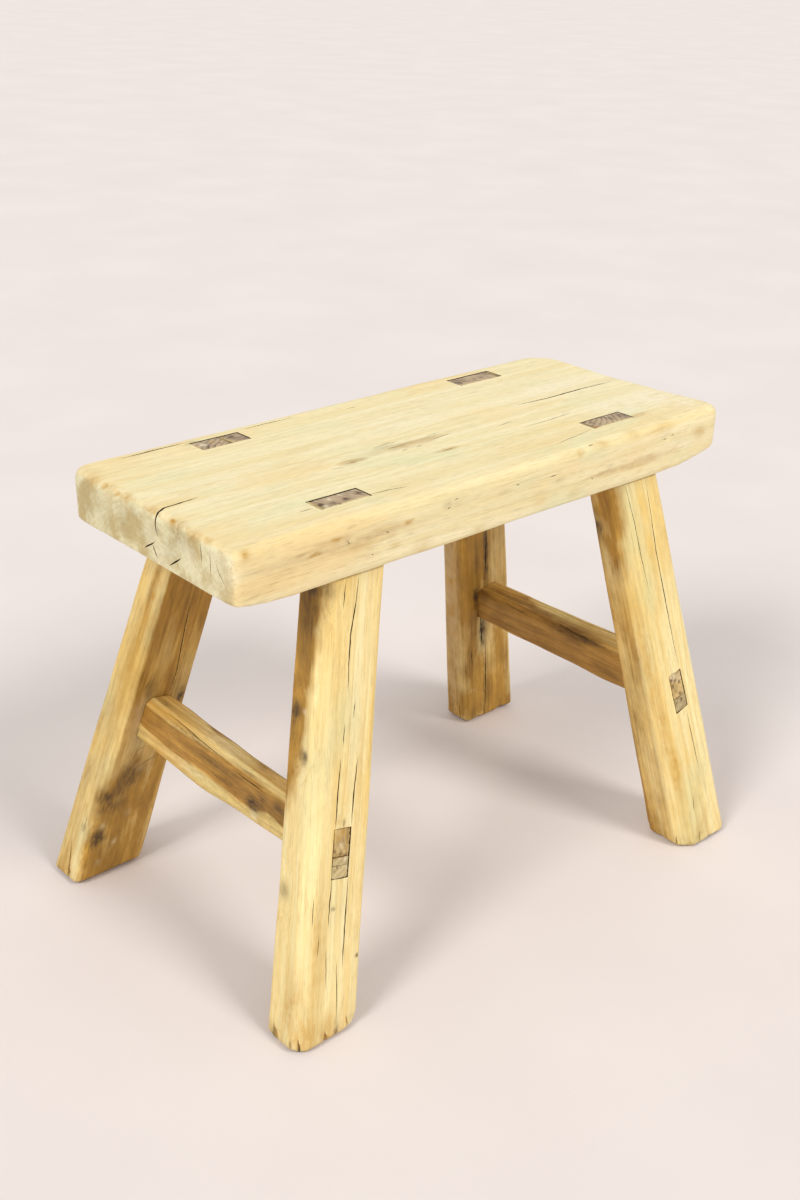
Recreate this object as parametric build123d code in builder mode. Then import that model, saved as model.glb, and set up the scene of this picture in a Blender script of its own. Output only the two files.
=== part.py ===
"""A small rustic elm stool: a thick plank seat on four splayed legs, tied in pairs by two stretchers.

Millimetres. +Z is up, +X runs along the seat and the front faces -Y. The origin lies on the floor,
under the middle of the space that the stool takes up. Every joint is a through mortise and tenon,
held by wedges: the legs end flush in the seat's top, the stretchers in the legs' outer faces.
"""

import os
from dataclasses import dataclass

from build123d import *

# The whole stool
stool_height = 311.0
joint_gap = 0.3  # between a tenon's cheeks and its mortise
overrun = 60.0  # how far a cut or a blank runs past what trims it

# The seat: a plank with eased edges, whose underside lifts towards both ends
seat_length = 411.0
seat_width = 164.0
seat_thickness = 35.5
end_skew = 9.0  # the right end is sawn out of square by this much
end_hollow = 4.0  # and worn hollow in its middle
left_end_lift = 5.0
left_end_curve = 48.0
right_end_lift = 10.0
right_end_curve = 72.0
top_easing = 5.0
bottom_easing = 2.5
corner_front_left = 6.5
corner_front_right = 12.0
corner_back_left = 13.0
corner_back_right = 25.0

# Legs
arris_bevel = 3.5
foot_wear = 4.0


@dataclass
class Leg:
    """One leg: where its tenon comes up through the seat, how far it splays from there, and its sections."""

    name: str
    side: int  # -1 left, +1 right
    face: int  # -1 front, +1 back
    inset_x: float  # of the tenon's middle from the seat's end
    inset_y: float  # and from the seat's edge
    splay_x: float  # how much further out the foot's middle stands
    splay_y: float
    foot_width: float
    foot_depth: float
    shoulder_width: float
    shoulder_depth: float
    shoulder_out_x: float  # of the shoulder's middle, outwards from the tenon's
    shoulder_out_y: float
    front_left_bevel: float
    tenon_width: float
    tenon_depth: float
    wedge_share: float  # place of the wedge in the tenon's end, 0 at its left and 1 at its right
    wedge_thickness: float
    wedge_tip: float


legs = {
    "front_left": Leg(
        name="front_left",
        side=-1,
        face=-1,
        inset_x=92.1,
        inset_y=26.5,
        splay_x=60.4,
        splay_y=51.8,
        foot_width=47.0,
        foot_depth=31.5,
        shoulder_width=43.5,
        shoulder_depth=27.0,
        shoulder_out_x=-3.3,
        shoulder_out_y=2.6,
        front_left_bevel=7.0,
        tenon_width=36.5,
        tenon_depth=14.0,
        wedge_share=0.0,
        wedge_thickness=2.8,
        wedge_tip=1.0,
    ),
    "front_right": Leg(
        name="front_right",
        side=1,
        face=-1,
        inset_x=90.8,
        inset_y=28.0,
        splay_x=55.0,
        splay_y=66.7,
        foot_width=47.0,
        foot_depth=37.0,
        shoulder_width=43.3,
        shoulder_depth=29.0,
        shoulder_out_x=1.5,
        shoulder_out_y=2.3,
        front_left_bevel=9.0,
        tenon_width=38.5,
        tenon_depth=13.5,
        wedge_share=0.0,
        wedge_thickness=2.4,
        wedge_tip=1.0,
    ),
    "back_left": Leg(
        name="back_left",
        side=-1,
        face=1,
        inset_x=96.7,
        inset_y=18.0,
        splay_x=75.0,
        splay_y=55.9,
        foot_width=54.5,
        foot_depth=31.0,
        shoulder_width=44.5,
        shoulder_depth=26.5,
        shoulder_out_x=4.2,
        shoulder_out_y=-3.1,
        front_left_bevel=3.0,
        tenon_width=36.0,
        tenon_depth=14.5,
        wedge_share=0.62,
        wedge_thickness=2.6,
        wedge_tip=1.0,
    ),
    "back_right": Leg(
        name="back_right",
        side=1,
        face=1,
        inset_x=95.8,
        inset_y=17.5,
        splay_x=69.1,
        splay_y=41.7,
        foot_width=55.0,
        foot_depth=26.5,
        shoulder_width=46.0,
        shoulder_depth=22.5,
        shoulder_out_x=-3.2,
        shoulder_out_y=0.3,
        front_left_bevel=3.0,
        tenon_width=40.0,
        tenon_depth=14.5,
        wedge_share=1.0,
        wedge_thickness=3.0,
        wedge_tip=1.0,
    ),
}


@dataclass
class Stretcher:
    """One stretcher: its level and section at both ends, its tenons and the wedges driven in under them."""

    name: str
    front_level: float  # of its middle line, at the front leg's axis
    back_level: float
    front_width: float
    front_height: float
    back_width: float
    back_height: float
    top_bevel: float
    bottom_bevel: float
    tenon_width: float
    tenon_height: float
    tenon_rise: float  # of the tenon's top above the middle line
    front_wedges: dict  # name ending: thickness at the leg's outer face, uppermost first
    back_wedges: dict
    wedge_tip_share: float  # a wedge's thickness at the leg's inner face, of that at the outer


stretchers = {
    "left": Stretcher(
        name="left",
        front_level=117.5,
        back_level=126.0,
        front_width=21.0,
        front_height=27.0,
        back_width=23.0,
        back_height=32.5,
        top_bevel=4.5,
        bottom_bevel=3.0,
        tenon_width=12.0,
        tenon_height=17.0,
        tenon_rise=13.2,
        front_wedges={"_upper": 5.2, "_lower": 7.0},
        back_wedges={"": 7.5},
        wedge_tip_share=0.4,
    ),
    "right": Stretcher(
        name="right",
        front_level=124.5,
        back_level=121.5,
        front_width=22.0,
        front_height=31.0,
        back_width=22.0,
        back_height=27.5,
        top_bevel=3.5,
        bottom_bevel=2.5,
        tenon_width=12.5,
        tenon_height=18.5,
        tenon_rise=11.0,
        front_wedges={"": 9.5},
        back_wedges={"": 7.5},
        wedge_tip_share=0.4,
    ),
}

# Derived from the sizes above
underside = stool_height - seat_thickness


def axis_out(leg, level):
    """How far out from the seat's centre the leg's axis stands at a level, along X and along Y."""
    splay_share = 1 - level / stool_height
    out_x = seat_length / 2 - leg.inset_x + leg.splay_x * splay_share
    out_y = seat_width / 2 - leg.inset_y + leg.splay_y * splay_share
    return out_x, out_y


def middle_of_feet(along_x):
    """Middle of the box that the feet span, from the seat's centre, along X or Y."""
    ends = []
    for leg in legs.values():
        out_x, out_y = axis_out(leg, foot_wear)
        width, depth = leg_section(leg, foot_wear)
        ends.append(leg.side * (out_x + width / 2) if along_x else leg.face * (out_y + depth / 2))
    return (min(ends) + max(ends)) / 2


def leg_section(leg, level):
    """Width and depth of the leg's body at a level, between its foot and its shoulder."""
    share = level / underside
    width = leg.foot_width + (leg.shoulder_width - leg.foot_width) * share
    depth = leg.foot_depth + (leg.shoulder_depth - leg.foot_depth) * share
    return width, depth


# The seat's centre in the part's frame
seat_x = -middle_of_feet(along_x=True)
seat_y = -middle_of_feet(along_x=False)


def tenon_centre(leg, level):
    """The leg's axis at a level: it runs from the foot's middle up to the tenon's end."""
    out_x, out_y = axis_out(leg, level)
    return Vector(seat_x + leg.side * out_x, seat_y + leg.face * out_y, level)


def body_box(leg, level):
    """Middle and size of the leg's body at a level, which leaves the axis a little towards its shoulder."""
    share = level / underside
    off_axis = Vector(leg.side * leg.shoulder_out_x * share, leg.face * leg.shoulder_out_y * share, 0)
    return tenon_centre(leg, level) + off_axis, *leg_section(leg, level)


def beveled_points(middle, width, depth, bevels):
    """Corners of a box with its four corners cut off, going round from the right back one."""
    points = []
    for (sign_x, sign_y), bevel in zip(((1, 1), (-1, 1), (-1, -1), (1, -1)), bevels):
        corner = Vector(middle.X + sign_x * width / 2, middle.Y + sign_y * depth / 2)
        on_side = (corner.X, corner.Y - sign_y * bevel)
        on_end = (corner.X - sign_x * bevel, corner.Y)
        points += [on_side, on_end] if sign_x * sign_y > 0 else [on_end, on_side]
    return points


def leg_outline(leg, level):
    """The leg's section: all its arrises are bevelled alike, but for the front left one."""
    middle, width, depth = body_box(leg, level)
    bevels = (arris_bevel, arris_bevel, leg.front_left_bevel, arris_bevel)
    return beveled_points(middle, width, depth, bevels)


def box_points(left, right, front, back):
    """Corners of an upright rectangle in plan."""
    return [(left, front), (right, front), (right, back), (left, back)]


def tenon_ends(leg, level):
    """Left and right end of the leg's tenon, and so of its mortise, at a level."""
    middle = tenon_centre(leg, level)
    return middle.X - leg.tenon_width / 2, middle.X + leg.tenon_width / 2


def seat_tenon_outline(leg, level, gap=0.0):
    """The tenon's section in the seat, or its mortise's with a gap at both cheeks."""
    left, right = tenon_ends(leg, level)
    middle = tenon_centre(leg, level)
    half = leg.tenon_depth / 2 + gap
    return box_points(left, right, middle.Y - half, middle.Y + half)


def seat_wedge_outline(leg, level):
    """The wedge's section in the tenon: full thickness at the seat's top, its tip at the underside."""
    share = (level - underside) / seat_thickness
    thickness = leg.wedge_tip + (leg.wedge_thickness - leg.wedge_tip) * share
    left, right = tenon_ends(leg, level)
    start = left + (right - left - thickness) * leg.wedge_share
    middle = tenon_centre(leg, level)
    half = leg.tenon_depth / 2
    return box_points(start, start + thickness, middle.Y - half, middle.Y + half)


def lofted(outline, low, high):
    """A straight-sided body between an outline's shapes at two levels."""
    with BuildPart() as body:
        for level in (low, high):
            with BuildSketch(Plane.XY.offset(level)):
                with BuildLine():
                    Polyline(*outline(level), close=True)
                make_face()
        loft(ruled=True)
    return body.part


def leg_face_plane(leg, outer):
    """Plane of the leg's outer or inner face, which looks along Y and leans with the leg."""
    side = leg.face if outer else -leg.face
    points = []
    for level in (0, underside):
        middle, width, depth = body_box(leg, level)
        points.append(middle + Vector(0, side * depth / 2, 0))
    rise = points[1] - points[0]
    outward = rise.cross(Vector(side, 0, 0))
    return Plane(origin=points[0], x_dir=(1, 0, 0), z_dir=outward)


def leg_pair(stretcher):
    """The front and the back leg that a stretcher ties."""
    return legs["front_" + stretcher.name], legs["back_" + stretcher.name]


def stretcher_ends(stretcher):
    """Where the stretcher's middle line crosses the front and the back leg's axis."""
    front, back = leg_pair(stretcher)
    return body_box(front, stretcher.front_level)[0], body_box(back, stretcher.back_level)[0]


def stretcher_plane(stretcher):
    """Plane square to the stretcher at its front end: local x to the left, y up and z to the back.

    The stretcher rolls with the splay of its legs, so its sides lie in line with theirs.
    """
    front_end, back_end = stretcher_ends(stretcher)
    along = back_end - front_end
    front, back = leg_pair(stretcher)
    rise = Vector(0, 0, 0)
    for leg in (front, back):
        rise += (tenon_centre(leg, stool_height) - tenon_centre(leg, 0)).normalized()
    return Plane(origin=front_end, x_dir=rise.cross(along), z_dir=along)


def side_plane(plane):
    """Plane through the stretcher's middle line, in line with its sides: local x along it and y up."""
    return Plane(origin=plane.origin, x_dir=plane.z_dir, z_dir=-plane.x_dir)


def crossing(leg, plane, outer):
    """Where the stretcher's middle line crosses the leg's outer or inner face, from the line's front end."""
    face = leg_face_plane(leg, outer)
    return (face.origin - plane.origin).dot(face.z_dir) / plane.z_dir.dot(face.z_dir)


def under_tenon(stretcher, leg, plane, depths):
    """Outline of a layer under the tenon, from one to another of two depths taken at the outer face.

    It is cut past both of the leg's faces, and thins towards the inner one.
    """
    inner = crossing(leg, plane, outer=False)
    outer = crossing(leg, plane, outer=True)
    tenon_floor = stretcher.tenon_rise - stretcher.tenon_height
    tip_share = stretcher.wedge_tip_share

    def height_at(place, depth):
        share = (place - inner) / (outer - inner)
        return tenon_floor - depth * (tip_share + (1 - tip_share) * share)

    past = (outer - inner) / 2
    places = (inner - past, outer + past)
    upper = [(place, height_at(place, depths[0])) for place in places]
    lower = [(place, height_at(place, depths[1])) for place in reversed(places)]
    return upper + lower


def make_stretcher_wedges(stretcher, leg, wedges):
    """The wedges under one tenon, trimmed flush with both faces of the leg."""
    plane = stretcher_plane(stretcher)
    made = []
    depth = 0.0
    for ending, thickness in wedges.items():
        outline = under_tenon(stretcher, leg, plane, (depth, depth + thickness))
        with BuildPart() as wedge:
            with BuildSketch(side_plane(plane)):
                with BuildLine():
                    Polyline(*outline, close=True)
                make_face()
            extrude(amount=stretcher.tenon_width / 2, both=True)
            split(bisect_by=leg_face_plane(leg, outer=True), keep=Keep.BOTTOM)
            split(bisect_by=leg_face_plane(leg, outer=False), keep=Keep.BOTTOM)
        wedge.part.label = f"stretcher_wedge_{leg.name}{ending}"
        made.append(wedge.part)
        depth += thickness
    return made


def make_mortise(stretcher, leg, wedges):
    """The space that one tenon and its wedges fill, with a gap at both cheeks."""
    plane = stretcher_plane(stretcher)
    floor = under_tenon(stretcher, leg, plane, (0, sum(wedges.values())))[2:]
    ceiling = [(place, stretcher.tenon_rise) for place, height in reversed(floor)]
    with BuildPart() as mortise:
        with BuildSketch(side_plane(plane)):
            with BuildLine():
                Polyline(*floor, *ceiling, close=True)
            make_face()
        extrude(amount=stretcher.tenon_width / 2 + joint_gap, both=True)
    return mortise.part


def make_stretcher(stretcher):
    """Tapered body between the legs' inner faces, with a through tenon at each end."""
    plane = stretcher_plane(stretcher)
    front_end, back_end = stretcher_ends(stretcher)
    length = (back_end - front_end).length
    sections = (
        (0, stretcher.front_width, stretcher.front_height),
        (length, stretcher.back_width, stretcher.back_height),
    )
    bevels = (stretcher.top_bevel, stretcher.top_bevel, stretcher.bottom_bevel, stretcher.bottom_bevel)
    half_tenon = stretcher.tenon_width / 2
    tenon_floor = stretcher.tenon_rise - stretcher.tenon_height
    tenon_section = box_points(-half_tenon, half_tenon, tenon_floor, stretcher.tenon_rise)
    pair = leg_pair(stretcher)
    with BuildPart() as rail:
        for place, width, height in sections:
            with BuildSketch(plane.offset(place)):
                with BuildLine():
                    Polyline(*beveled_points(Vector(0, 0), width, height, bevels), close=True)
                make_face()
        loft(ruled=True)
        for leg in pair:
            split(bisect_by=leg_face_plane(leg, outer=False), keep=Keep.TOP)
        with BuildSketch(plane.offset(-overrun)):
            with BuildLine():
                Polyline(*tenon_section, close=True)
            make_face()
        extrude(amount=length + 2 * overrun)
        for leg in pair:
            split(bisect_by=leg_face_plane(leg, outer=True), keep=Keep.BOTTOM)
    rail.part.label = f"stretcher_{stretcher.name}"
    return rail.part


def make_seat():
    """The plank: its plan, the lift of its underside at both ends, eased edges and four mortises."""
    half_length = seat_length / 2
    half_width = seat_width / 2
    front_left = (seat_x - half_length, seat_y - half_width)
    front_right = (seat_x + half_length, seat_y - half_width)
    right_middle = (seat_x + half_length - end_skew / 2 - end_hollow, seat_y)
    back_right = (seat_x + half_length - end_skew, seat_y + half_width)
    back_left = (seat_x - half_length, seat_y + half_width)
    corners = (front_left, front_right, back_right, back_left)
    radii = (corner_front_left, corner_front_right, corner_back_right, corner_back_left)
    mortises = [
        lofted(lambda level: seat_tenon_outline(leg, level, joint_gap), underside, stool_height)
        for leg in legs.values()
    ]
    with BuildPart() as seat:
        with BuildSketch(Plane.XY.offset(underside)):
            with BuildLine():
                Polyline(back_right, back_left, front_left, front_right)
                ThreePointArc(front_right, right_middle, back_right)
            make_face()
        extrude(amount=seat_thickness)
        uprights = seat.edges().filter_by(Axis.Z)
        for (x, y), radius in zip(corners, radii):
            corner = uprights.sort_by_distance((x, y, stool_height))[0]
            fillet(corner, radius=radius)
        fillet(seat.faces().sort_by(Axis.Z)[-1].edges(), radius=top_easing)
        fillet(seat.faces().sort_by(Axis.Z)[0].edges(), radius=bottom_easing)
        for side, curve, lift in ((-1, left_end_curve, left_end_lift), (1, right_end_curve, right_end_lift)):
            start = (seat_x + side * (half_length - curve), underside)
            end = (seat_x + side * half_length, underside + lift)
            past = (seat_x + side * (half_length + overrun), underside + lift)
            with BuildSketch(Plane.XZ.offset(-seat_y)):
                with BuildLine():
                    TangentArc(start, end, tangent=(side, 0))
                    Line(end, past)
                    Line(past, (past[0], underside - overrun))
                    Line((past[0], underside - overrun), (start[0], underside - overrun))
                    Line((start[0], underside - overrun), start)
                make_face()
            extrude(amount=half_width + overrun, both=True, mode=Mode.SUBTRACT)
        for mortise in mortises:
            add(mortise, mode=Mode.SUBTRACT)
    seat.part.label = "seat"
    return seat.part


def make_seat_wedge(leg):
    """The wedge in the end of the leg's tenon, flush with the seat's top."""
    wedge = lofted(lambda level: seat_wedge_outline(leg, level), underside, stool_height)
    wedge.label = f"seat_wedge_{leg.name}"
    return wedge


def make_leg(leg, seat_wedge, mortise):
    """Body from the worn foot to the shoulder, the tenon through the seat and the stretcher's mortise."""
    blank = lofted(lambda level: leg_outline(leg, level), 0, underside)
    tenon = lofted(lambda level: seat_tenon_outline(leg, level), underside, stool_height)
    with BuildPart() as body:
        add(blank)
        chamfer(body.faces().sort_by(Axis.Z)[0].edges(), length=foot_wear)
        add(tenon)
        add(seat_wedge, mode=Mode.SUBTRACT)
        add(mortise, mode=Mode.SUBTRACT)
    body.part.label = f"leg_{leg.name}"
    return body.part


pieces = [make_seat()]
for stretcher in stretchers.values():
    pieces.append(make_stretcher(stretcher))
    for leg, wedges in zip(leg_pair(stretcher), (stretcher.front_wedges, stretcher.back_wedges)):
        seat_wedge = make_seat_wedge(leg)
        pieces += [make_leg(leg, seat_wedge, make_mortise(stretcher, leg, wedges)), seat_wedge]
        pieces += make_stretcher_wedges(stretcher, leg, wedges)

os.makedirs("parts", exist_ok=True)
for piece in pieces:
    export_step(piece, f"parts/{piece.label}.step")
    size = piece.bounding_box().size
    print(f"{piece.label}: {size.X:.1f} x {size.Y:.1f} x {size.Z:.1f} mm, {piece.volume / 1000:.1f} cm3")
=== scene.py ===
# %% [markdown]
# # A small work stool in bleached elm
# The stool is one thick plank on four splayed legs. Each leg ends in a tenon
# that runs right through the plank, and each end pair of legs is held apart by
# a stretcher whose tenons run right through the legs. Thin slips of wood fill
# what the mortises leave open.
# The CAD part gives the sizes and the places. This lesson dresses it: it wears
# the edges, opens the cracks, and gives the wood its grain.

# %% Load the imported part
import math

import bmesh
import bpy
import numpy as np
from mathutils import Matrix, Vector
from mathutils.bvhtree import BVHTree


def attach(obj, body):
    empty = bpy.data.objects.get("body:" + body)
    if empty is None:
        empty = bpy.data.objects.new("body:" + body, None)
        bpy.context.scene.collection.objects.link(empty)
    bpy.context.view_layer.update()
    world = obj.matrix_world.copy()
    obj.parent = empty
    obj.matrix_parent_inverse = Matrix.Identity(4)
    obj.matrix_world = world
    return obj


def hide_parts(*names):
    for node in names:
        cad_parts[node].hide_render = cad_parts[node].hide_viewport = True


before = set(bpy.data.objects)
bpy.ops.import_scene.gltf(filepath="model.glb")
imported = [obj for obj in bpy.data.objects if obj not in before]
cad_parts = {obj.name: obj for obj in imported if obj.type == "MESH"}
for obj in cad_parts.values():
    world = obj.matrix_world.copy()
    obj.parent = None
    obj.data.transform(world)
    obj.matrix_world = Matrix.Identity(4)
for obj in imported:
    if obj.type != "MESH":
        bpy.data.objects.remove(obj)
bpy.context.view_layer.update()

MM = 0.001

# %% [markdown]
# ## Stage, light and camera
# The photograph looks down on the stool from its front left. Its camera was
# solved from the stool's own straight edges, so it is written here as a place
# and three angles. Keeping the pixel size of the photograph beside it lets any
# mark on the wood be placed by where it is seen.


# %% Putting an object in the scene
def in_scene(name, data):
    """A new object that holds this camera, light or mesh."""
    made = bpy.data.objects.new(name, data)
    bpy.context.scene.collection.objects.link(made)
    return made


# %% Camera
PHOTO_WIDTH, PHOTO_HEIGHT = 800, 1200
FOCAL_PIXELS = 1451.19
SENSOR_SIDE_MM = 36.0
NEAREST, FARTHEST = 0.01, 200.0     # what the camera can see, in metres
CAMERA_PLACE = Vector((-0.5945, -0.6335, 0.6085))
AZIMUTH, ELEVATION, ROLL = (math.radians(a) for a in (-42.533, 25.438, 1.746))

back = Vector((math.sin(AZIMUTH) * math.cos(ELEVATION),
               -math.cos(AZIMUTH) * math.cos(ELEVATION),
               math.sin(ELEVATION)))
level = Vector((math.cos(AZIMUTH), math.sin(AZIMUTH), 0.0))
upright = back.cross(level)
image_right = math.cos(ROLL) * level + math.sin(ROLL) * upright
image_up = -math.sin(ROLL) * level + math.cos(ROLL) * upright

camera_data = bpy.data.cameras.new("camera")
camera_data.sensor_fit = "VERTICAL"
camera_data.sensor_height = SENSOR_SIDE_MM
camera_data.lens = FOCAL_PIXELS / PHOTO_HEIGHT * SENSOR_SIDE_MM
camera_data.clip_start, camera_data.clip_end = NEAREST, FARTHEST
camera = in_scene("camera", camera_data)
turn = Matrix((image_right, image_up, back)).transposed().to_4x4()
camera.matrix_world = Matrix.Translation(CAMERA_PLACE) @ turn
bpy.context.scene.camera = camera
print("lens in mm:", round(camera_data.lens, 2))

# %% [markdown]
# Two large soft lights stand rather low: one on the stool's left and one in
# front. Their directions and their width were read from the shadows that the
# legs throw on the floor. They are set as suns with a wide disc, so the floor is
# lit evenly however far it runs. The room's own light fills the rest.

# %% Lights
LEFT_AZIMUTH, LEFT_ELEVATION = math.radians(-170), math.radians(40)
FRONT_AZIMUTH, FRONT_ELEVATION = math.radians(-80), math.radians(42)
LEFT_LIGHT, FRONT_LIGHT, ROOM_LIGHT = 1.52, 1.42, 0.57
SOFT_DISC = math.radians(19)


def soft_light(name, azimuth, elevation, strength):
    """Adds one wide, far light that shines from the given direction."""
    towards = Vector((math.cos(azimuth) * math.cos(elevation),
                      math.sin(azimuth) * math.cos(elevation), math.sin(elevation)))
    data = bpy.data.lights.new(name, "SUN")
    data.energy = strength
    data.angle = SOFT_DISC
    in_scene(name, data).rotation_euler = towards.to_track_quat("Z", "Y").to_euler()


soft_light("light_left", LEFT_AZIMUTH, LEFT_ELEVATION, LEFT_LIGHT)
soft_light("light_front", FRONT_AZIMUTH, FRONT_ELEVATION, FRONT_LIGHT)
world = bpy.data.worlds.new("studio")
world.use_nodes = True
world.node_tree.nodes["Background"].inputs["Strength"].default_value = ROOM_LIGHT
world.node_tree.nodes["Background"].inputs["Color"].default_value = (1, 1, 1, 1)
bpy.context.scene.world = world
bpy.context.scene.view_settings.view_transform = "Standard"

# %% [markdown]
# ## Colours and shader nodes
# Colours are written as the sRGB hex values that any paint program shows. One
# function turns them to the linear values that shaders work in, and one more
# adds a shader node, sets it and links it, which keeps each material short.


# %% Colour and node helpers
def linear(code):
    """The linear colour of an sRGB hex code."""
    parts = [int(code[i:i + 2], 16) / 255 for i in (1, 3, 5)]
    flat = [p / 12.92 if p <= 0.04045 else ((p + 0.055) / 1.055) ** 2.4 for p in parts]
    return (*flat, 1.0)


def put(tree, kind, inputs=None, out=0, **settings):
    """Adds one shader node, sets and links it, and gives back one of its outputs."""
    made = tree.nodes.new(kind)
    for name, value in settings.items():
        setattr(made, name, value)
    for key, value in (inputs or {}).items():
        if isinstance(value, bpy.types.NodeSocket):
            tree.links.new(value, made.inputs[key])
        else:
            made.inputs[key].default_value = value
    return made.outputs[out] if made.outputs else None


def empty_material(name):
    """A material with an empty node tree of its own."""
    material = bpy.data.materials.new(name)
    material.use_nodes = True
    material.node_tree.nodes.clear()
    return material, material.node_tree


# %% Short names for what the nodes share
MATH, RANGE, COLOUR_MIX = "ShaderNodeMath", "ShaderNodeMapRange", "ShaderNodeMix"
VECTOR_MATH, ATTRIBUTE = "ShaderNodeVectorMath", "ShaderNodeAttribute"
TIMES, TIMES_AND_ADD = {"operation": "MULTIPLY"}, {"operation": "MULTIPLY_ADD"}
COLOURS = {"out": 2, "data_type": "RGBA"}
FACTOR, UNDER, OVER = 0, 6, 7       # a colour mix's sockets

# %% [markdown]
# The floor is a plain pale sheet with a warm, slightly pink tint. It has only
# a faint unevenness, so that it doesn't read as a computer's perfect plane.

# %% Floor
FLOOR_REACH = 60.0
FLOOR_COLOUR, FLOOR_SHADE = "#e6ddd8", "#dad0cc"
FLOOR_CLOUDS_PER_METRE = 5.0
FLOOR_ROUGHNESS, FLOOR_GLOSS = 0.8, 0.15

floor_paper, tree = empty_material("paper_pale_pink_matt")
place = put(tree, "ShaderNodeNewGeometry", out="Position")
clouds = put(tree, "ShaderNodeTexNoise",
             {"Vector": place, "Scale": FLOOR_CLOUDS_PER_METRE, "Detail": 6.0})
paper = put(tree, COLOUR_MIX, {FACTOR: clouds, UNDER: linear(FLOOR_COLOUR),
                               OVER: linear(FLOOR_SHADE)}, **COLOURS)
matt = put(tree, "ShaderNodeBsdfPrincipled",
           {"Base Color": paper, "Roughness": FLOOR_ROUGHNESS,
            "Specular IOR Level": FLOOR_GLOSS})
put(tree, "ShaderNodeOutputMaterial", {"Surface": matt})

floor_mesh = bpy.data.meshes.new("floor")
corners = [(x, y, 0.0) for x, y in ((-1, -1), (1, -1), (1, 1), (-1, 1))]
floor_mesh.from_pydata([(x * FLOOR_REACH, y * FLOOR_REACH, z) for x, y, z in corners],
                       [], [(0, 1, 2, 3)])
floor_mesh.materials.append(floor_paper)
floor = in_scene("floor", floor_mesh)

# %% [markdown]
# ## The wood
# Old northern elm, washed and scrubbed until it has lost its brown, is cream on
# top and honey coloured where hands and soap reached less. Three things make it
# read as wood. Growth rings are cylinders round the pith, so they show as
# nearly straight lines on a long face and as arcs on an end. Fibres are fine
# streaks along the grain. Pores are short dark dashes. All three are drawn in
# millimetres of the piece's own grain, which each mesh carries as an attribute,
# so a splayed leg's grain follows the leg.

# %% Real sizes of the grain, in mm
RING_WIDTH = 3.4          # elm that grew at a middling pace
RING_WANDER = 7.0         # how far a ring strays from its cylinder
FIBRE_WIDTH = 0.9         # real fibres are finer: drawn coarse enough to show
FIBRE_LENGTH = 45.0
STREAK_WIDTH = 6.0
STREAK_LENGTH = 190.0
STRAND_WIDTH = 2.6        # brown and tan strands in heartwood
BLOTCH_LENGTH, BLOTCH_WIDTH = 34.0, 11.0    # soft mottles in the brown wood
PORE_WIDTH = 0.6          # real vessels are 0.2 to 0.3: drawn coarser to show
PORE_LENGTH = 14.0
SPECK_LENGTH, SPECK_WIDTH = 8.0, 2.2    # what breaks up the edge of a stain
CLOUD_SIZE = 55.0         # blotches left by scrubbing and damp
SAW_PITCH = 1.6           # strokes of the saw across an end
SAW_ANGLE = 0.65          # radians that the strokes lean
PATCH_SIZE = 17.0         # dry and damp patches on an end

# %% Grain patterns: length, width, detail, roughness of each noise
PATTERNS = {
    "fibre": (FIBRE_LENGTH, FIBRE_WIDTH, 3.0, 0.6),
    "streak": (STREAK_LENGTH, STREAK_WIDTH, 3.0, 0.55),
    "strand": (STREAK_LENGTH / 2, STRAND_WIDTH, 3.0, 0.65),
    "pore": (PORE_LENGTH, PORE_WIDTH, 1.0, 0.5),
    "speck": (SPECK_LENGTH, SPECK_WIDTH, 4.0, 0.7),
    "wander": (STREAK_LENGTH, 38.0, 2.0, 0.5),
    "uneven": (120.0, 12.0, 2.0, 0.5),
    "blotch": (BLOTCH_LENGTH, BLOTCH_WIDTH, 4.0, 0.65),
    "cloud": (CLOUD_SIZE * 2.2, CLOUD_SIZE, 3.0, 0.6),
    "cool": (CLOUD_SIZE * 1.4, CLOUD_SIZE * 0.6, 2.0, 0.5),
    "patch": (CLOUD_SIZE, PATCH_SIZE, 3.0, 0.6),
}

# %% The levels between which each pattern comes up, from nothing to full
LEVELS = {
    "streak": (0.36, 0.66), "cloud": (0.50, 0.68), "cool": (0.54, 0.70), "pore": (0.62, 0.72),
    "uneven": (0.38, 0.62), "heart": (0.64, 1.15), "mottle": (0.36, 0.66),
    "stroke": (0.46, 0.68), "patch": (0.42, 0.62), "stain": (0.44, 0.80), "fine": (0.3, 0.7),
}
BETWEEN = {label: {"From Min": low, "From Max": high} for label, (low, high) in LEVELS.items()}
print("patterns in the wood:", len(PATTERNS))

# %% [markdown]
# The mesh brings four attributes to its wood. The grain is a place in mm, which
# each noise divides by its own length and width. The marks are three kinds of
# stain in one vector: orange, dark and bleached. The other two say
# how much of the face is end grain, and how much is brown heartwood.
# The dark marks also carry painted shade where pieces meet, and on the legs the brown amount also
# carries painted shade on their inner faces.


# %% What the mesh tells its wood
def patterns_on(tree):
    """The mesh's attributes and every noise along its grain, by name."""
    pattern = {"grain": put(tree, ATTRIBUTE, out="Vector", attribute_name="grain")}
    for name in ("ends", "heart"):
        pattern[name] = put(tree, ATTRIBUTE, out="Fac", attribute_name=name)
    marked = put(tree, ATTRIBUTE, out="Vector", attribute_name="marks")
    pattern["marks"] = put(tree, "ShaderNodeSeparateXYZ", {0: marked}).node.outputs
    for label, (length, width, detail, rough) in PATTERNS.items():
        scaled = put(tree, VECTOR_MATH,
                     {0: pattern["grain"], 1: (1 / length, 1 / width, 1 / width)}, **TIMES)
        pattern[label] = put(tree, "ShaderNodeTexNoise",
                             {"Vector": scaled, "Scale": 1.0, "Detail": detail,
                              "Roughness": rough})
    return pattern


# %% [markdown]
# A ring is dark where the tree's early wood begins and fades towards the next
# one, so each is sharp on one side only. A saw-tooth of the distance from the
# pith gives that. The distance strays a little, because no trunk is round.

# %% Growth rings
RING_SHARPNESS = 2.6
FAINTEST_RING = 0.25


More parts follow.
